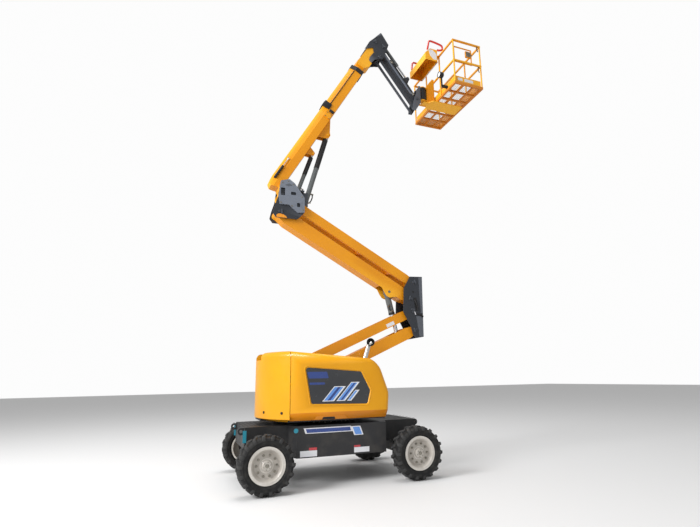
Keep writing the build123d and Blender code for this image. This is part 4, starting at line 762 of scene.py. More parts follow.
# %% Hood hinges
hinge_length, barrel_half = 1.427, 0.040
joint_of = {j["child"]: j for j in frame["joints"]}
for name, side in sides:
    joint = joint_of[f"{name}_cover"]
    start, way = Vector(joint["pos_m"]), Vector(joint["axis"]).normalized()
    if way.x < 0:
        way = -way
    bm = bmesh.new()
    for share in (0.12, 0.5, 0.88):
        place = start + way * hinge_length * share
        add_stack(bm, place, way, (-barrel_half, barrel_half, 0.015, 24, 0.001))
        place += Vector((0, side * 0.016, 0))
        half = Vector((barrel_half, 0.014, 0.005))
        add_block(bm, place - half, place + half, 0.001, Matrix.Rotation(atan2(-way.z, way.x), 4, "Y"))
    piece(f"hood_hinges_{name}", bm, f"{name}_cover", hood_shell)
print("hinge line direction:", tuple(round(v, 3) for v in way), "from", tuple(round(v, 3) for v in start))

# %% [markdown]
# The pane carries a printed design.  It is kept generic: three slanted bars in graded blue
# with a pale edge, printed as very thin plates on the pane.  Thin plates keep crisp edges
# and export as real shapes, which a painted pattern would not.

# %% Printed bars on the panes
sky_blue = paint("sky_blue", (0.16, 0.36, 0.78), (0.11, 0.27, 0.68), 0.25, 0.6, 0.0002)
deep_blue = paint("deep_blue", (0.035, 0.07, 0.27), (0.028, 0.055, 0.21), 0.25, 0.6, 0.0002)
label_white = paint("label_white", (0.78, 0.79, 0.82), (0.70, 0.71, 0.74), 0.4, 0.2, 0.0002)
label_red = paint("label_red", (0.55, 0.06, 0.07), (0.48, 0.05, 0.06), 0.4, 0.2, 0.0002)
label_teal = paint("label_teal", (0.03, 0.28, 0.38), (0.025, 0.24, 0.33), 0.4, 0.2, 0.0002)
print_sunk = 0.001
pane_face = 0.916


def slanted(x, z, length, height, lean=0.0):
    """A bar that leans: lower corners first."""
    return [(x, z), (x + length, z), (x + length + lean, z + height), (x + lean, z + height)]


def print_layers(tag, side, body, face, layers):
    """Thin plates on a face, one piece for each row of name, finish, thickness and outlines."""
    for name, finish, thickness, shapes in layers:
        bm = bmesh.new()
        for shape in shapes:
            add_plate(bm, shape, side * (face - print_sunk), side * (face + thickness))
        piece(f"{name}_{tag}", bm, body, finish)


pane_layers = [
    ("pane_print_white", label_white, 0.0004, [
        slanted(-0.335, 1.292, 0.200, 0.235, 0.205), slanted(-0.095, 1.292, 0.150, 0.300, 0.262),
        slanted(0.090, 1.292, 0.075, 0.170, 0.148)]),
    ("pane_print_blue", sky_blue, 0.0007, [
        slanted(-0.308, 1.304, 0.152, 0.211, 0.184), slanted(-0.070, 1.304, 0.104, 0.276, 0.241),
        slanted(0.108, 1.304, 0.040, 0.146, 0.127)]),
    ("pane_print_navy", deep_blue, 0.0010, [
        slanted(-0.250, 1.304, 0.050, 0.211, 0.184), slanted(-0.026, 1.304, 0.035, 0.276, 0.241)]),
    ("pane_grille", deep_blue, 0.0004, [
        rounded(slanted(-0.560, 1.660, 0.335, 0.105, -0.030), 0.012, 3),
        rounded(slanted(-0.545, 1.560, 0.260, 0.035, -0.010), 0.012, 3)]),
]
for name, side in sides:
    print_layers(name, side, f"{name}_cover", pane_face, pane_layers)
print("print layers:", len(pane_layers))

# %% [markdown]
# A hand pocket is pressed into the low band of the hood, with a black plate of painted shade
# for the opening behind which the latch sits.  Its face leans as the band does, so it is
# drawn in the leaning plane.

# %% Hand pockets and latches
def band_y(z):
    """How far out the leaning band is at a height."""
    return hood_out - hood_lean * max(0.0, (hood_lean_top - z)) / (hood_lean_top - hood_foot)


def add_leaning_plate(bm, outline, side, low, high):
    """A plate on the band, between two distances out of its face."""
    add_prism(bm, *([(x, side * (band_y(z) + depth), z) for x, z in outline] for depth in (low, high)))


pocket = [(-0.470, 1.010), (-0.412, 1.070), (0.055, 1.066), (0.118, 1.010)]
opening_painted_shade = [(-0.330, 1.010), (-0.312, 1.050), (-0.120, 1.050), (-0.100, 1.010)]
latch = [(-0.250, 1.018), (-0.250, 1.040), (-0.190, 1.040), (-0.190, 1.018)]
for name, side in sides:
    bm = bmesh.new()
    add_leaning_plate(bm, pocket, side, -0.004, 0.004)
    bevel(bm, [e for e in bm.edges if all(abs(v.co.y) > band_y(v.co.z) + 0.003 for v in e.verts)], 0.0035)
    # The pocket takes the band's darker orange, a painted shade.
    piece(f"hood_pocket_{name}", bm, f"{name}_cover", hood_band_painted_shade)
    bm = bmesh.new()
    # A black plate of painted shade stands for the recess of the opening.
    add_leaning_plate(bm, opening_painted_shade, side, -0.004, 0.0046)
    add_leaning_plate(bm, latch, side, 0.004, 0.010)
    piece(f"hood_latch_{name}", bm, f"{name}_cover", black_plastic)
print("band at its foot:", round(band_y(hood_foot), 3))

# %% [markdown]
# The side of the undercarriage carries a printed stripe and two stickers.  The stripe is a
# plain double bar with slanted ends in white and blue, and the stickers are blank.

# %% Stripe and blank stickers on the undercarriage
side_face, box_face = 0.843, 0.589
side_layers = [
    ("side_stripe_white", label_white, 0.0006, [
        slanted(-0.590, 0.800, 0.800, 0.085, -0.030), slanted(0.235, 0.735, 0.165, 0.142, -0.055)]),
    ("side_stripe_navy", deep_blue, 0.0010, [slanted(-0.565, 0.811, 0.748, 0.060, -0.020)]),
    ("side_stripe_blue", sky_blue, 0.0010, [slanted(0.256, 0.746, 0.118, 0.118, -0.046)]),
    ("blank_sticker", label_white, 0.0006, [
        slanted(-0.674, 0.452, 0.276, 0.090), slanted(0.231, 0.462, 0.270, 0.080)]),
    ("red_sticker", label_red, 0.0006, [
        slanted(-0.530, 0.545, 0.130, 0.040), slanted(0.231, 0.545, 0.110, 0.030)]),
]
for tag, side in sides:
    print_layers(tag, side, "chassis", side_face, side_layers)
    bm = bmesh.new()
    add_stack(bm, Vector((-0.742, side * side_face, 0.853)), Vector((0, side, 0)),
              (-0.001, 0.0008, 0.036, 28))
    add_plate(bm, slanted(-1.530, 0.690, 0.056, 0.184), side * box_face, side * (box_face + 0.0017))
    piece(f"teal_sticker_{tag}", bm, "chassis", label_teal)
print("stickers on each side:", 6)

# %% [markdown]
# Hydraulic hoses are round rubber lines with crimped steel ends.  Each is drawn as a smooth
# NURBS curve through a few control points, given its thickness by the curve's bevel, and
# made a mesh, so that it can be shaded and exported as a shape of its own.

# %% Hoses
def hose(name, points, radius, body, finish=hose_rubber, ends=True):
    curve = bpy.data.curves.new(name, "CURVE")
    curve.dimensions = "3D"
    spline = curve.splines.new("NURBS")
    spline.points.add(len(points) - 1)
    for spot, point in zip(spline.points, points):
        spot.co = (*point, 1.0)
    spline.order_u = 4 if len(points) > 3 else 3
    spline.use_endpoint_u = True
    spline.resolution_u = 7
    curve.bevel_depth = radius
    curve.bevel_resolution = 3
    curve.use_fill_caps = True
    made_curve = bpy.data.objects.new(name, curve)
    bm = bmesh.new()
    bm.from_mesh(bpy.data.meshes.new_from_object(made_curve))
    bpy.data.objects.remove(made_curve)
    weld(bm)
    piece(name, bm, body, finish, crisp=50.0)
    if ends:
        bm = bmesh.new()
        for tip, inner in ((points[0], points[1]), (points[-1], points[-2])):
            add_stack(bm, Vector(tip), (Vector(inner) - Vector(tip)).normalized(),
                      (-0.006, 0.052, radius * 1.28, 16, 0.001), (-0.012, 0.010, radius * 1.62, 6, 0.001))
        piece(f"{name}_ends", bm, body, zinc)


lift_low, lift_high = (-0.4456, 4.9258), (0.0075, 6.5154)
level_low, level_high = (-0.6206, 5.0998), (-0.2932, 6.0542)
lift_angle, level_angle = slope(lift_low, lift_high), slope(level_low, level_high)
for name, body, start, angle, skin, radius, low, high, out_by, y in (
    ("lift_hose_near", "lift_barrel", lift_low, lift_angle, -0.046, 0.012, 0.100, 0.300, -0.100, -0.030),
    ("lift_hose_far", "lift_barrel", lift_low, lift_angle, 0.046, 0.012, 0.120, 0.280, 0.105, 0.028),
    ("level_hose_near", "level_barrel", level_low, level_angle, -0.036, 0.009, 0.075, 0.215, -0.110, -0.022),
    ("level_hose_far", "level_barrel", level_low, level_angle, 0.036, 0.009, 0.095, 0.200, 0.095, 0.020),
):
    hose(name, on_line(start, angle, (
        (low, skin, y), (low + 0.02, out_by * 0.8, y), ((low + high) / 2, out_by, y * 1.5),
        (high, out_by * 0.85, y * 1.2), (high, skin, y))), radius, body)
print("cylinder angles:", round(lift_angle, 1), round(level_angle, 1))

# %% [markdown]
# The rods of the two boom cylinders are sheathed by black guards that stand on the rod's
# eye and slide over the barrel, so the bright rod stays clean.  Each guard is a thin tube:
# a closed profile turned about the cylinder's own line.

# %% Rod guards
def guard_profile(length, inner, outer, ribs=9):
    points = [(inner, 0.0), (outer, 0.0)]
    for i in range(1, ribs + 1):
        d = length * i / (ribs + 1)
        points += [(outer, d - 0.006), (outer - 0.0012, d - 0.003), (outer - 0.0012, d + 0.003),
                   (outer, d + 0.006)]
    return points + [(outer, length), (inner, length)]


rod_eye, lid = 0.0330, 0.006
for name, high, angle, start_at, length, inner, outer, body in (
    ("lift_rod_guard", lift_high, lift_angle, 0.088, 0.688, 0.0506, 0.0538, "lift_rod"),
    ("level_rod_guard", level_high, level_angle, 0.072, 0.410, 0.0406, 0.0440, "level_rod"),
):
    a = radians(angle)
    down = Vector((-cos(a), 0, -sin(a)))
    top = at_y(high, 0.0) + down * start_at
    bm = bmesh.new()
    add_tube(bm, top, down, guard_profile(length, inner, outer))
    add_tube(bm, top, down, [(rod_eye, 0.0), (inner + 0.001, 0.0), (inner + 0.001, lid), (rod_eye, lid)])
    piece(name, bm, body, black_plastic)
print("guards:", 2)

# %% [markdown]
# Each big pin is kept from turning by a small keeper plate with two bolts, and is greased
# through a nipple in its end.  One helper makes the pin head, the plate and the bolts, and
# a table says where the pins are and which body carries them.

# %% Pin keepers
def add_keeper(bm, point, y_face, side, radius, angle):
    """A pin's end cap, its keeper plate beside it, two bolts and a grease nipple."""
    face, out = at_y(point, side * y_face), Vector((0, side, 0))
    add_stack(bm, face, out, (-0.002, 0.006, radius * 0.92, 32, 0.0015),
              (0.005, 0.010, radius * 0.30, 16, 0.001), (0.009, 0.020, 0.0045, 8, 0.0005))
    a = radians(angle)
    way, across = Vector((cos(a), 0, sin(a))), Vector((-sin(a), 0, cos(a)))
    middle, half = face + way * (radius + 0.016), Vector((0.016, 0.006, 0.045))
    add_block(bm, middle - half, middle + half, 0.002, Matrix.Rotation(-a, 4, "Y"))
    for end in (-1, 1):
        add_stack(bm, middle + across * 0.028 * end, out, (0.004, 0.014, 0.0085, 6, 0.001))


middle_pins = ((1.8149, 2.5795), (1.7549, 2.9295), (1.7349, 3.1895), (1.7799, 3.5245))
top_pin, strut_pin = (-0.9606, 4.7208), (1.1976, 8.6084)
keepers = [
    # name, body, and the pin ends: point, face, radius, plate direction
    ("keepers_middle_upright", "middle_upright",
     [(p, 0.198, 0.030, a) for p, a in zip(middle_pins, (200, 90, 160, 20))]),
    ("keepers_top_upright", "top_upright", [(top_pin, 0.198, 0.030, 0)]),
    ("keepers_head", "knuckle_head",
     [(tip_pin, 0.154, 0.030, 130), (jib_pin, 0.154, 0.025, 60), (strut_pin, 0.154, 0.018, 250)]),
    ("keepers_jib_end", "jib_end", [(jib_end_pin, 0.105, 0.025, 60)]),
]
for name, body, ends in keepers:
    bm = bmesh.new()
    for point, y_face, radius, angle in ends:
        for side in (-1, 1):
            add_keeper(bm, point, y_face, side, radius, angle)
    piece(name, bm, body, dark_paint)
print("pins kept:", sum(len(ends) for name, body, ends in keepers))

# %% [markdown]
# The exhaust ends in a wide black outlet that points sideways and slightly up, so that rain
# stays out.  It is one profile turned about its own line: a cup with a thick, rolled rim.

# %% Exhaust outlet
outlet_way = Vector((-0.22, -0.95, 0.10)).normalized()
outlet_start = Vector((0.768, -0.304, 2.292))
bm = bmesh.new()
add_tube(bm, outlet_start, outlet_way, [
    (0.0, 0.008), (0.0, -0.020), (0.046, -0.020), (0.060, -0.006), (0.067, 0.020), (0.070, 0.062),
    (0.074, 0.068), (0.076, 0.076), (0.070, 0.080), (0.065, 0.072), (0.062, 0.020), (0.054, 0.008),
], 48)
weld(bm)
piece("exhaust_outlet", bm, "turntable", black_plastic)
bm = bmesh.new()
for z in (1.70, 1.90):
    add_rod(bm, (0.640, -0.288, z - 0.012), (0.640, -0.288, z + 0.012), 0.0465, 40, 0.002)
    add_block(bm, (0.584, -0.296, z - 0.010), (0.600, -0.280, z + 0.010), 0.002)
piece("exhaust_clamps", bm, "turntable", zinc)
print("outlet at", tuple(round(v, 2) for v in outlet_start))

# %% [markdown]
# The middle upright carries the hose run past the folding arms: a slot drawn as a thin black
# plate of painted shade for the recess behind it, with two black discs of painted shade for
# holes, a hose that loops over the plate, a strap and a clamp block at the front edge.
# The plates themselves are stiffened along the front by a second strip.

# %% Middle upright
strips = [([(1.902, 3.640), (1.983, 3.640), (1.972, 2.905), (1.925, 2.905)], 0.006),
          ([(1.820, 2.840), (1.968, 2.840), (1.966, 2.450), (1.880, 2.432)], 0.005)]
hose_slot = rounded([(1.772, 3.215), (1.838, 3.215), (1.880, 2.985), (1.815, 2.940)], 0.024, 4)
for tag, side in sides:
    face, out = 0.190 * side, Vector((0, side, 0))
    bm = bmesh.new()
    for outline, thickness in strips:
        add_plate(bm, outline, face - side * 0.002, face + side * thickness)
    piece(f"upright_strips_{tag}", bm, "middle_upright", dark_paint)
    bm = bmesh.new()
    # A thin black plate and two black discs: painted shade for the slot's recess and two holes.
    add_plate(bm, hose_slot, face - side * 0.001, face + side * 0.0016)
    add_stack(bm, Vector((1.769, face, 3.328)), out, (-0.001, 0.0018, 0.024, 28))
    add_stack(bm, Vector((1.700, face, 3.060)), out, (-0.001, 0.0018, 0.010, 16))
    piece(f"upright_openings_{tag}", bm, "middle_upright", black_plastic)
    hose(f"upright_hose_{tag}", [
        (1.800, side * 0.186, 3.170), (1.806, side * 0.212, 3.140), (1.832, side * 0.218, 3.060),
        (1.852, side * 0.214, 2.990), (1.842, side * 0.186, 2.955)], 0.0125, "middle_upright", ends=False)
    bm = bmesh.new()
    add_block(bm, (1.815, face, 2.862), (1.966, face + side * 0.020, 2.888), 0.004,
              Matrix.Rotation(radians(12), 4, "Y"))
    add_rod(bm, (1.955, side * 0.175, 2.842), (1.955, side * 0.204, 2.842), 0.026, 24, 0.003)
    piece(f"upright_clamp_{tag}", bm, "middle_upright", black_plastic)
    bm = bmesh.new()
    add_block(bm, (1.782, face, 2.868), (1.806, face + side * 0.006, 2.952), 0.002,
              Matrix.Rotation(radians(-28), 4, "Y"))
    piece(f"upright_strap_{tag}", bm, "middle_upright", label_white)
print("upright plates dressed:", 2)

# %% [markdown]
# The lower arms show the heads of the pins they carry, and small blank plates.  The riser
# cylinder has a dark screwed gland where the rod leaves the barrel.

# %% Arm ends, blank plates and the gland
bm = bmesh.new()
for side in (-1, 1):
    for x, z, r in ((1.471, 2.442, 0.020), (1.592, 2.484, 0.014)):
        add_rod(bm, (x, side * 0.110, z), (x, side * 0.1145, z), r, 24, 0.001)
piece("lower_arm_bolts", bm, "lower_arm", black_plastic)
bm = bmesh.new()
place = along((1.830, 2.970), lower_angle, -0.62, -0.045)
add_plate_pair(bm, [along(place, lower_angle, u, v) for u, v in slanted(-0.09, -0.034, 0.18, 0.068)],
               0.1110, 0.1130)
piece("lower_link_plates", bm, "lower_link", label_white)
riser_low, riser_high = (1.2699, 3.3195), (1.4799, 2.4415)
riser_way = (at_y(riser_high, 0) - at_y(riser_low, 0)).normalized()
bm = bmesh.new()
add_tube(bm, at_y(riser_low, 0), riser_way, [
    (0.0405, 0.412), (0.0600, 0.412), (0.0645, 0.416), (0.0645, 0.446), (0.0600, 0.453), (0.0405, 0.453)])
piece("riser_gland", bm, "riser_barrel", black_plastic)
hose("riser_hose", [(1.300, -0.052, 3.060), (1.250, -0.085, 3.010), (1.290, -0.095, 2.930),
                    (1.362, -0.058, 2.945)], 0.011, "riser_barrel")
print("riser direction:", tuple(round(v, 3) for v in riser_way))

# %% [markdown]
# The cover of the top upright is a folded sheet over the carrying plates.  It gets its
# fixing screws, a dark pressed panel at the top, and below it an orange sheet in the shape
# of an arch on the solid plate: a painted picture of the end of the arm, in a darker orange
# than the arm's yellow for the shade it lies in.

# %% Top upright
bm = bmesh.new()
screws = [(0.045, 0.560), (0.150, 0.600), (0.255, 0.545), (0.420, 0.320), (0.440, 0.060), (0.230, 0.120),
          (0.020, 0.165)]
for side in (-1, 1):
    for spot in shifted(screws, top_pin):
        add_stack(bm, at_y(spot, side * 0.2215), Vector((0, side, 0)), (0.0, 0.007, 0.010, 6, 0.001),
                  (0.0, 0.002, 0.016, 20, 0.0005))
piece("cover_screws", bm, "top_upright", zinc)
bm = bmesh.new()
panel = [(0.075, 0.520), (0.175, 0.560), (0.245, 0.525), (0.150, 0.500)]
add_plate_pair(bm, rounded(shifted(panel, top_pin), 0.010, 3), 0.2210, 0.2235)
piece("cover_panels", bm, "top_upright", dark_paint)
bm = bmesh.new()
# An orange sheet on the solid plate: the arm end painted in, darker than its yellow for the shade of the
# arch.
arch = [(-0.050, -0.119), (-0.052, -0.080), (-0.025, -0.052), (0.025, -0.046), (0.080, -0.058),
        (0.125, -0.085), (0.150, -0.119)]
add_plate_pair(bm, shifted(arch, top_pin), 0.1890, 0.1912)
piece("painted_arm_end_in_shade", bm, "top_upright", orange_paint)
print("cover screws:", 2 * len(screws))

# %% [markdown]
# The boom carries its own equipment: a saddle clamp half way up, a hose that runs in the
# shoulder of the tube from the clamp to the front collar, and a small gas strut at the root
# that is pinned to the sloping shoulder.

# %% Boom equipment
def on_boom(u, v, y):
    return Vector(on_line(boom_pin, boom_angle, [(u, v, y)])[0])


def add_boom_block(bm, low, high, edge):
    """A block between two (u, y, v) corners in the boom's own directions."""
    low, high = Vector(low), Vector(high)
    middle = (high + low) / 2
    turn = Matrix.Rotation(-radians(boom_angle), 4, "Y")
    add_cube(bm, Matrix.Translation(on_boom(middle.x, middle.z, middle.y)) @ turn, high - low, edge)


bm = bmesh.new()
add_boom_block(bm, (2.045, -0.108, 0.272), (2.165, 0.108, 0.302), 0.006)
for side in (-1, 1):
    add_boom_block(bm, (2.035, side * 0.096, 0.128), (2.170, side * 0.146, 0.292), 0.008)
    add_boom_block(bm, (2.000, side * 0.122, 0.004), (2.060, side * 0.146, 0.108), 0.006)
piece("boom_saddle", bm, "boom_base", black_plastic)
for tag, side in sides:
    run = [(u, 0.172, side * 0.1265) for u in (2.260, 2.600, 2.950, 3.230)]
    hose(f"boom_hose_{tag}", on_line(boom_pin, boom_angle, [(2.150, 0.176, side * 0.130), *run]), 0.0085,
         "boom_base", ends=False)
strut = on_boom(0.0, 0.213, -0.128)
boom_way = (on_boom(1.0, 0.213, -0.128) - strut).normalized()
bm = bmesh.new()
add_stack(bm, strut, boom_way, (0.080, 0.370, 0.025, 28, 0.003))
add_boom_block(bm, (0.066, -0.145, 0.190), (0.092, -0.096, 0.236), 0.003)
piece("boom_strut_body", bm, "boom_base", black_plastic)
bm = bmesh.new()
add_stack(bm, strut, boom_way, (0.365, 0.560, 0.010, 20, 0.001))
add_boom_block(bm, (0.552, -0.140, 0.196), (0.582, -0.096, 0.230), 0.003)
piece("boom_strut_rod", bm, "boom_base", chrome)
bm = bmesh.new()
for side in (-1, 1):
    for u in (1.850, 1.950):
        for v in (0.030, 0.120):
            add_rod(bm, on_boom(u, v, side * 0.138), on_boom(u, v, side * 0.152), 0.010, 6, 0.001)
piece("boom_pad_bolts", bm, "boom_base", zinc)
print("boom direction:", boom_angle)

# %% [markdown]
# The jib's two side plates show long pressed panels, and its two hoses run down the near
# side.

# %% Jib
bm = bmesh.new()
panel = [(0.150, -0.030), (1.150, -0.030), (1.190, 0.0), (1.150, 0.030), (0.150, 0.030), (0.110, 0.0)]
add_plate_pair(bm, [along(jib_pin, jib_angle, u, v) for u, v in panel], 0.0570, 0.0600)
piece("jib_panels", bm, "jib", blue_grey_paint)
for k, (v, y) in enumerate(((0.048, -0.070), (0.024, -0.072))):
    run = [(u, v, y) for u in (0.380, 0.700, 1.050)]
    hose(f"jib_hose_{k}", on_line(jib_pin, jib_angle, [(0.330, v, y + 0.010), *run, (1.210, v, y + 0.010)]),
         0.0095, "jib")
print("jib angle:", round(jib_angle, 1))

# %% [markdown]
# The platform floor is a welded grating, so that rain and mud fall through and light comes
# up from below.  It stands for the flat deck plate: long bearing bars with thin cross bars
# welded between them, all inside the deck's own outline and thickness.

# %% Floor grating
deck_low, deck_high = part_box("platform_deck")
pitch, bar, edge_bar, overlap, bar_drop = (0.036, 0.0366), 0.0032, 0.034, 0.002, 0.0006
x0, x1, y0, y1 = deck_low[0] + 0.002, deck_high[0] - 0.002, deck_low[1] + 0.002, deck_high[1] - 0.002
z0, z1 = deck_low[2] + 0.0002, deck_high[2]
inner_x0, inner_x1, inner_y0, inner_y1 = x0 + edge_bar, x1 - edge_bar, y0 + edge_bar, y1 - edge_bar
bm = bmesh.new()
for low, high in (((x0, y0, z0), (x1, inner_y0, z1)), ((x0, inner_y1, z0), (x1, y1, z1)),
                  ((x0, inner_y0, z0), (inner_x0, inner_y1, z1)),
                  ((inner_x1, inner_y0, z0), (x1, inner_y1, z1))):
    add_block(bm, low, high)
count_x, count_y = int((inner_x1 - inner_x0) / pitch[0]), int((inner_y1 - inner_y0) / pitch[1])
for i in range(1, count_x + 1):
    x = inner_x0 + i * (inner_x1 - inner_x0) / (count_x + 1)
    add_block(bm, (x - bar / 2, inner_y0 - overlap, z0), (x + bar / 2, inner_y1 + overlap, z1))
for i in range(1, count_y + 1):
    y = inner_y0 + i * (inner_y1 - inner_y0) / (count_y + 1)
    add_block(bm, (inner_x0 - overlap, y - bar / 2, z0 + bar_drop),
              (inner_x1 + overlap, y + bar / 2, z1 - bar_drop))
grating = piece("floor_grating", bm, "platform", galvanised)
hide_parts("platform_deck")
print("grating bars:", count_x + count_y)

# %% [markdown]
# The operator's console has a sloping face with two joysticks, a lighter end cap, a bright
# kick bar below, and red guard hoops that protect the levers at both ends.

# %% Console
console_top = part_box("control_console")[1][2]
bm = bmesh.new()
cap = [(2.292, 8.915), (2.395, 8.925), (2.495, 8.840), (2.502, 8.690), (2.420, 8.680), (2.330, 8.770)]
add_plate_pair(bm, rounded(cap, 0.020, 4), 0.3840, 0.3880)
piece("console_end_caps", bm, "platform", label_white)
bm = bmesh.new()
add_rod(bm, (2.527, -0.370, 8.650), (2.527, 0.370, 8.650), 0.011, 20, 0.002)
for y in (-0.330, 0.0, 0.330):
    add_block(bm, (2.500, y - 0.012, 8.646), (2.528, y + 0.012, 8.656), 0.002)
piece("console_kick_bar", bm, "platform", chrome)
hoop = [(2.276, 8.960), (2.296, 9.110), (2.330, 9.135), (2.610, 9.095), (2.650, 9.070), (2.656, 8.985),
        (2.620, 8.955)]
for tag, side in sides:
    hose(f"console_guard_{tag}", [(2.270, side * 0.380, 8.905), *(at_y(p, side * 0.402) for p in hoop),
                                  (2.555, side * 0.372, 8.960)], 0.0215, "platform", red_paint, False)
bm = bmesh.new()
joystick = [
    # x and z of the lower and the upper end, radius, sides, edge
    (0.0, 0.0, 0.0, 0.012, 0.034, 28, 0.003), (0.0, 0.010, 0.010, 0.034, 0.024, 24, 0.004),
    (0.008, 0.028, 0.014, 0.075, 0.008, 16, 0.001), (0.012, 0.066, 0.020, 0.118, 0.016, 20, 0.005),
]
for y in (-0.215, 0.215):
    foot = Vector((2.400, y, console_top - 0.004))
    for low_x, low_z, high_x, high_z, *values in joystick:
        add_rod(bm, foot + Vector((low_x, 0, low_z)), foot + Vector((high_x, 0, high_z)), *values)
piece("console_joysticks", bm, "platform", black_plastic)
print("guard hoops:", 2, "console top:", round(console_top, 3))

# %% [markdown]
# The gate is opened by a black pull handle at its post and kept shut by a latch with a
# sprung bolt.  The work lamp gets a deeper cowl with cooling ribs and a glass.

# %% Gate handle, latch and lamp
half_pull = [(3.252, -0.898, 0.060), (3.235, -0.915, 0.055), (3.205, -0.926, 0.035)]
for name, middle in (("gate_pull_low", 8.270), ("gate_pull_high", 8.790)):
    hose(name, [*((x, y, middle - z) for x, y, z in half_pull), (3.200, -0.928, middle),
                *((x, y, middle + z) for x, y, z in reversed(half_pull))],
         0.009, "platform", black_plastic, False)
bm = bmesh.new()
add_block(bm, (2.945, -0.8845, 8.548), (3.060, -0.880, 8.662), 0.0015)
add_rod(bm, (3.000, -0.887, 8.605), (3.098, -0.887, 8.605), 0.007, 16, 0.001)
add_rod(bm, (2.985, -0.884, 8.632), (2.985, -0.900, 8.632), 0.012, 20, 0.002)
piece("gate_latch", bm, "platform", zinc)
lamp_front, lamp_back_way = Vector((2.531, -0.560, 8.180)), Vector((-1, 0, 0))
lamp_glass, lamp_glass_shader = new_finish("lamp_glass", (0.86, 0.88, 0.90), 0.06, 0.0, 1.0)
relief(lamp_glass, lamp_glass_shader, place_noise(lamp_glass, 160.0, 1.0), 0.001, 0.3)
cowl = [(0.0, 0.0), (0.040, 0.0), (0.056, 0.012), (0.060, 0.030), (0.066, 0.034), (0.066, 0.042),
        (0.061, 0.046), (0.066, 0.050), (0.066, 0.058), (0.062, 0.062), (0.068, 0.110), (0.064, 0.114),
        (0.060, 0.106), (0.0, 0.100)]
lens = [(0.0, 0.099), (0.059, 0.099), (0.058, 0.104), (0.030, 0.109), (0.0, 0.110)]
for name, finish, profile, steps in (("lamp_cowl", black_plastic, cowl, 40),
                                     ("lamp_lens", lamp_glass, lens, 36)):
    bm = bmesh.new()
    add_tube(bm, lamp_front, lamp_back_way, profile, steps)
    weld(bm)
    piece(name, bm, "platform", finish)
bm = bmesh.new()
for x, z, length, height in ((2.690, 7.905, 0.120, 0.060), (2.860, 7.900, 0.220, 0.070)):
    add_plate(bm, slanted(x, z, length, height), -0.8800, -0.8822)
piece("toe_board_plates", bm, "platform", label_white)
print("lamp at", tuple(round(v, 2) for v in lamp_front))

# %% [markdown]
# Under the right hood sits the engine.  Its block is a finished solid, so the things bolted
# to it are added: a rocker cover with screws, a fan and a pulley below it at one end, an air
# filter, an oil filter, the pipe that joins them, and a cooler with its fins at the other end.

# %% Engine bay
(ex0, ey0, ez0), (ex1, ey1, ez1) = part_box("engine_block")
middle_y, along_x, up_z = (ey0 + ey1) / 2, Vector((1, 0, 0)), Vector((0, 0, 1))
bm = bmesh.new()
add_block(bm, (ex0 + 0.10, ey0 + 0.10, ez1 - 0.002), (ex1 - 0.16, ey1 - 0.10, ez1 + 0.070), 0.018)
for i in range(5):
    add_stack(bm, Vector((ex0 + 0.16 + i * 0.13, middle_y, ez1)), up_z, (0.066, 0.080, 0.012, 6, 0.002))
piece("engine_top_cover", bm, "turntable", dark_paint)
bm = bmesh.new()
add_stack(bm, Vector((ex0, ey1 - 0.050, ez1 + 0.055)), along_x, (0.15, 0.42, 0.048, 36, 0.008))
add_stack(bm, Vector((ex1 - 0.13, ey0 + 0.060, ez1)), up_z, (-0.004, 0.110, 0.042, 32, 0.006))
piece("engine_filters", bm, "turntable", black_plastic)
fan_middle = Vector((ex1 + 0.030, middle_y, ez0 + 0.36))
bm = bmesh.new()
add_stack(bm, fan_middle, along_x, (-0.032, 0.020, 0.045, 32, 0.004))
add_stack(bm, fan_middle - up_z * 0.20, along_x, (-0.032, 0.006, 0.075, 40, 0.004))
blade = Vector((0.002, 0.050, 0.024))
for i in range(6):
    a = 2 * pi * i / 6
    turn = Matrix.Rotation(a, 4, "X") @ Matrix.Rotation(radians(24), 4, "Z")
    spot = fan_middle + Vector((0.010, 0.085 * cos(a), 0.085 * sin(a)))
    add_block(bm, spot - blade, spot + blade, 0.0015, turn)
piece("engine_fan", bm, "turntable", black_plastic)
hose("engine_pipe", [(ex0 + 0.42, ey1 - 0.050, ez1 + 0.055), (ex0 + 0.52, ey1 - 0.050, ez1 + 0.060),
                     (ex1 - 0.20, ey1 - 0.080, ez1 + 0.080), (ex1 - 0.10, ey1 - 0.140, ez1 + 0.060),
                     (ex1 - 0.10, ey1 - 0.160, ez1 + 0.004)], 0.024, "turntable")
bm = bmesh.new()
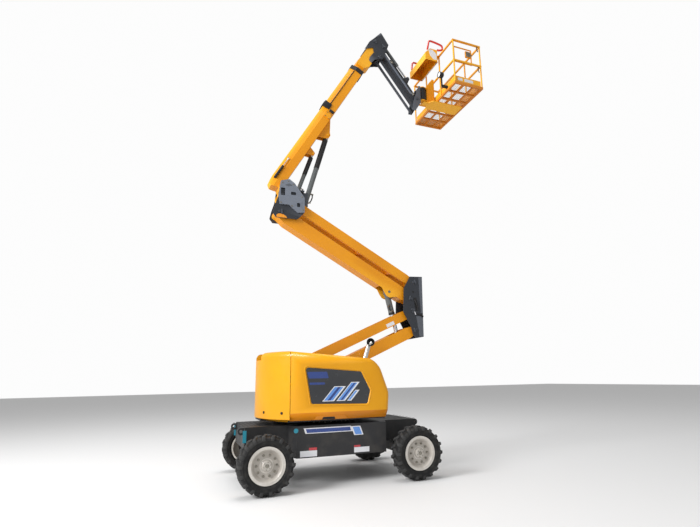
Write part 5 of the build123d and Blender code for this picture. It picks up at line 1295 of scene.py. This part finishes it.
add_block(bm, (ex0 - 0.075, ey0 + 0.02, ez0 + 0.04), (ex0 - 0.015, ey1 - 0.02, ez0 + 0.52), 0.006)
for i in range(22):
    z = ez0 + 0.07 + i * 0.020
    add_block(bm, (ex0 - 0.080, ey0 + 0.04, z), (ex0 - 0.074, ey1 - 0.04, z + 0.006))
piece("engine_cooler", bm, "turntable", iron)
print("engine top:", round(ez1, 3))

# %% [markdown]
# The slewing ring is held by a circle of bolts, and the deck of the
# undercarriage has a ribbed walking plate at each end, ribbed so that a wet boot holds.

# %% Slewing ring bolts and walking plates
bolt_count, bolt_ring, ring_top, deck_top = 30, 0.475, 0.9195, 0.9192
bm = bmesh.new()
for place in range(bolt_count):
    a = 2 * pi * place / bolt_count
    add_stack(bm, Vector((bolt_ring * cos(a), bolt_ring * sin(a), ring_top)), up_z,
              (0.0, 0.004, 0.016, 16, 0.0008), (0.003, 0.017, 0.0115, 6, 0.001))
piece("slewing_ring_bolts", bm, "chassis", zinc)
rib = Vector((0.022, 0.004, 0.0015))
bm = bmesh.new()
for end in (-1, 1):
    for row in range(9):
        odd = row % 2
        way = Matrix.Rotation(radians(45 if odd else -45), 4, "Z")
        for rank in range(7):
            y = -0.42 + 0.14 * rank + 0.07 * odd
            if abs(y) < 0.50:
                spot = Vector((end * (1.035 + 0.065 * row), y, deck_top + rib.z))
                add_block(bm, spot - rib, spot + rib, 0.0010, way)
piece("walking_ribs", bm, "chassis", chassis_paint)
print("ring bolts:", bolt_count)

# %% [markdown]
# The tail is one heavy casting behind the hoods, smooth and bare.  Four rubber buffers are
# pushed into its lower edge, where the machine first meets a wall when it turns.

# %% Tail buffers
tail_radius, buffer_height = 1.255, 1.130
bm = bmesh.new()
for y in (-0.42, -0.80, 0.42, 0.80):
    middle = Vector((-(tail_radius ** 2 - y ** 2) ** 0.5, y, buffer_height))
    way = Vector((middle.x, y, 0)).normalized()
    add_stack(bm, middle, way, (-0.004, 0.010, 0.022, 28, 0.003))
piece("tail_bumpers", bm, "turntable", black_plastic)
print("tail buffers:", 4)
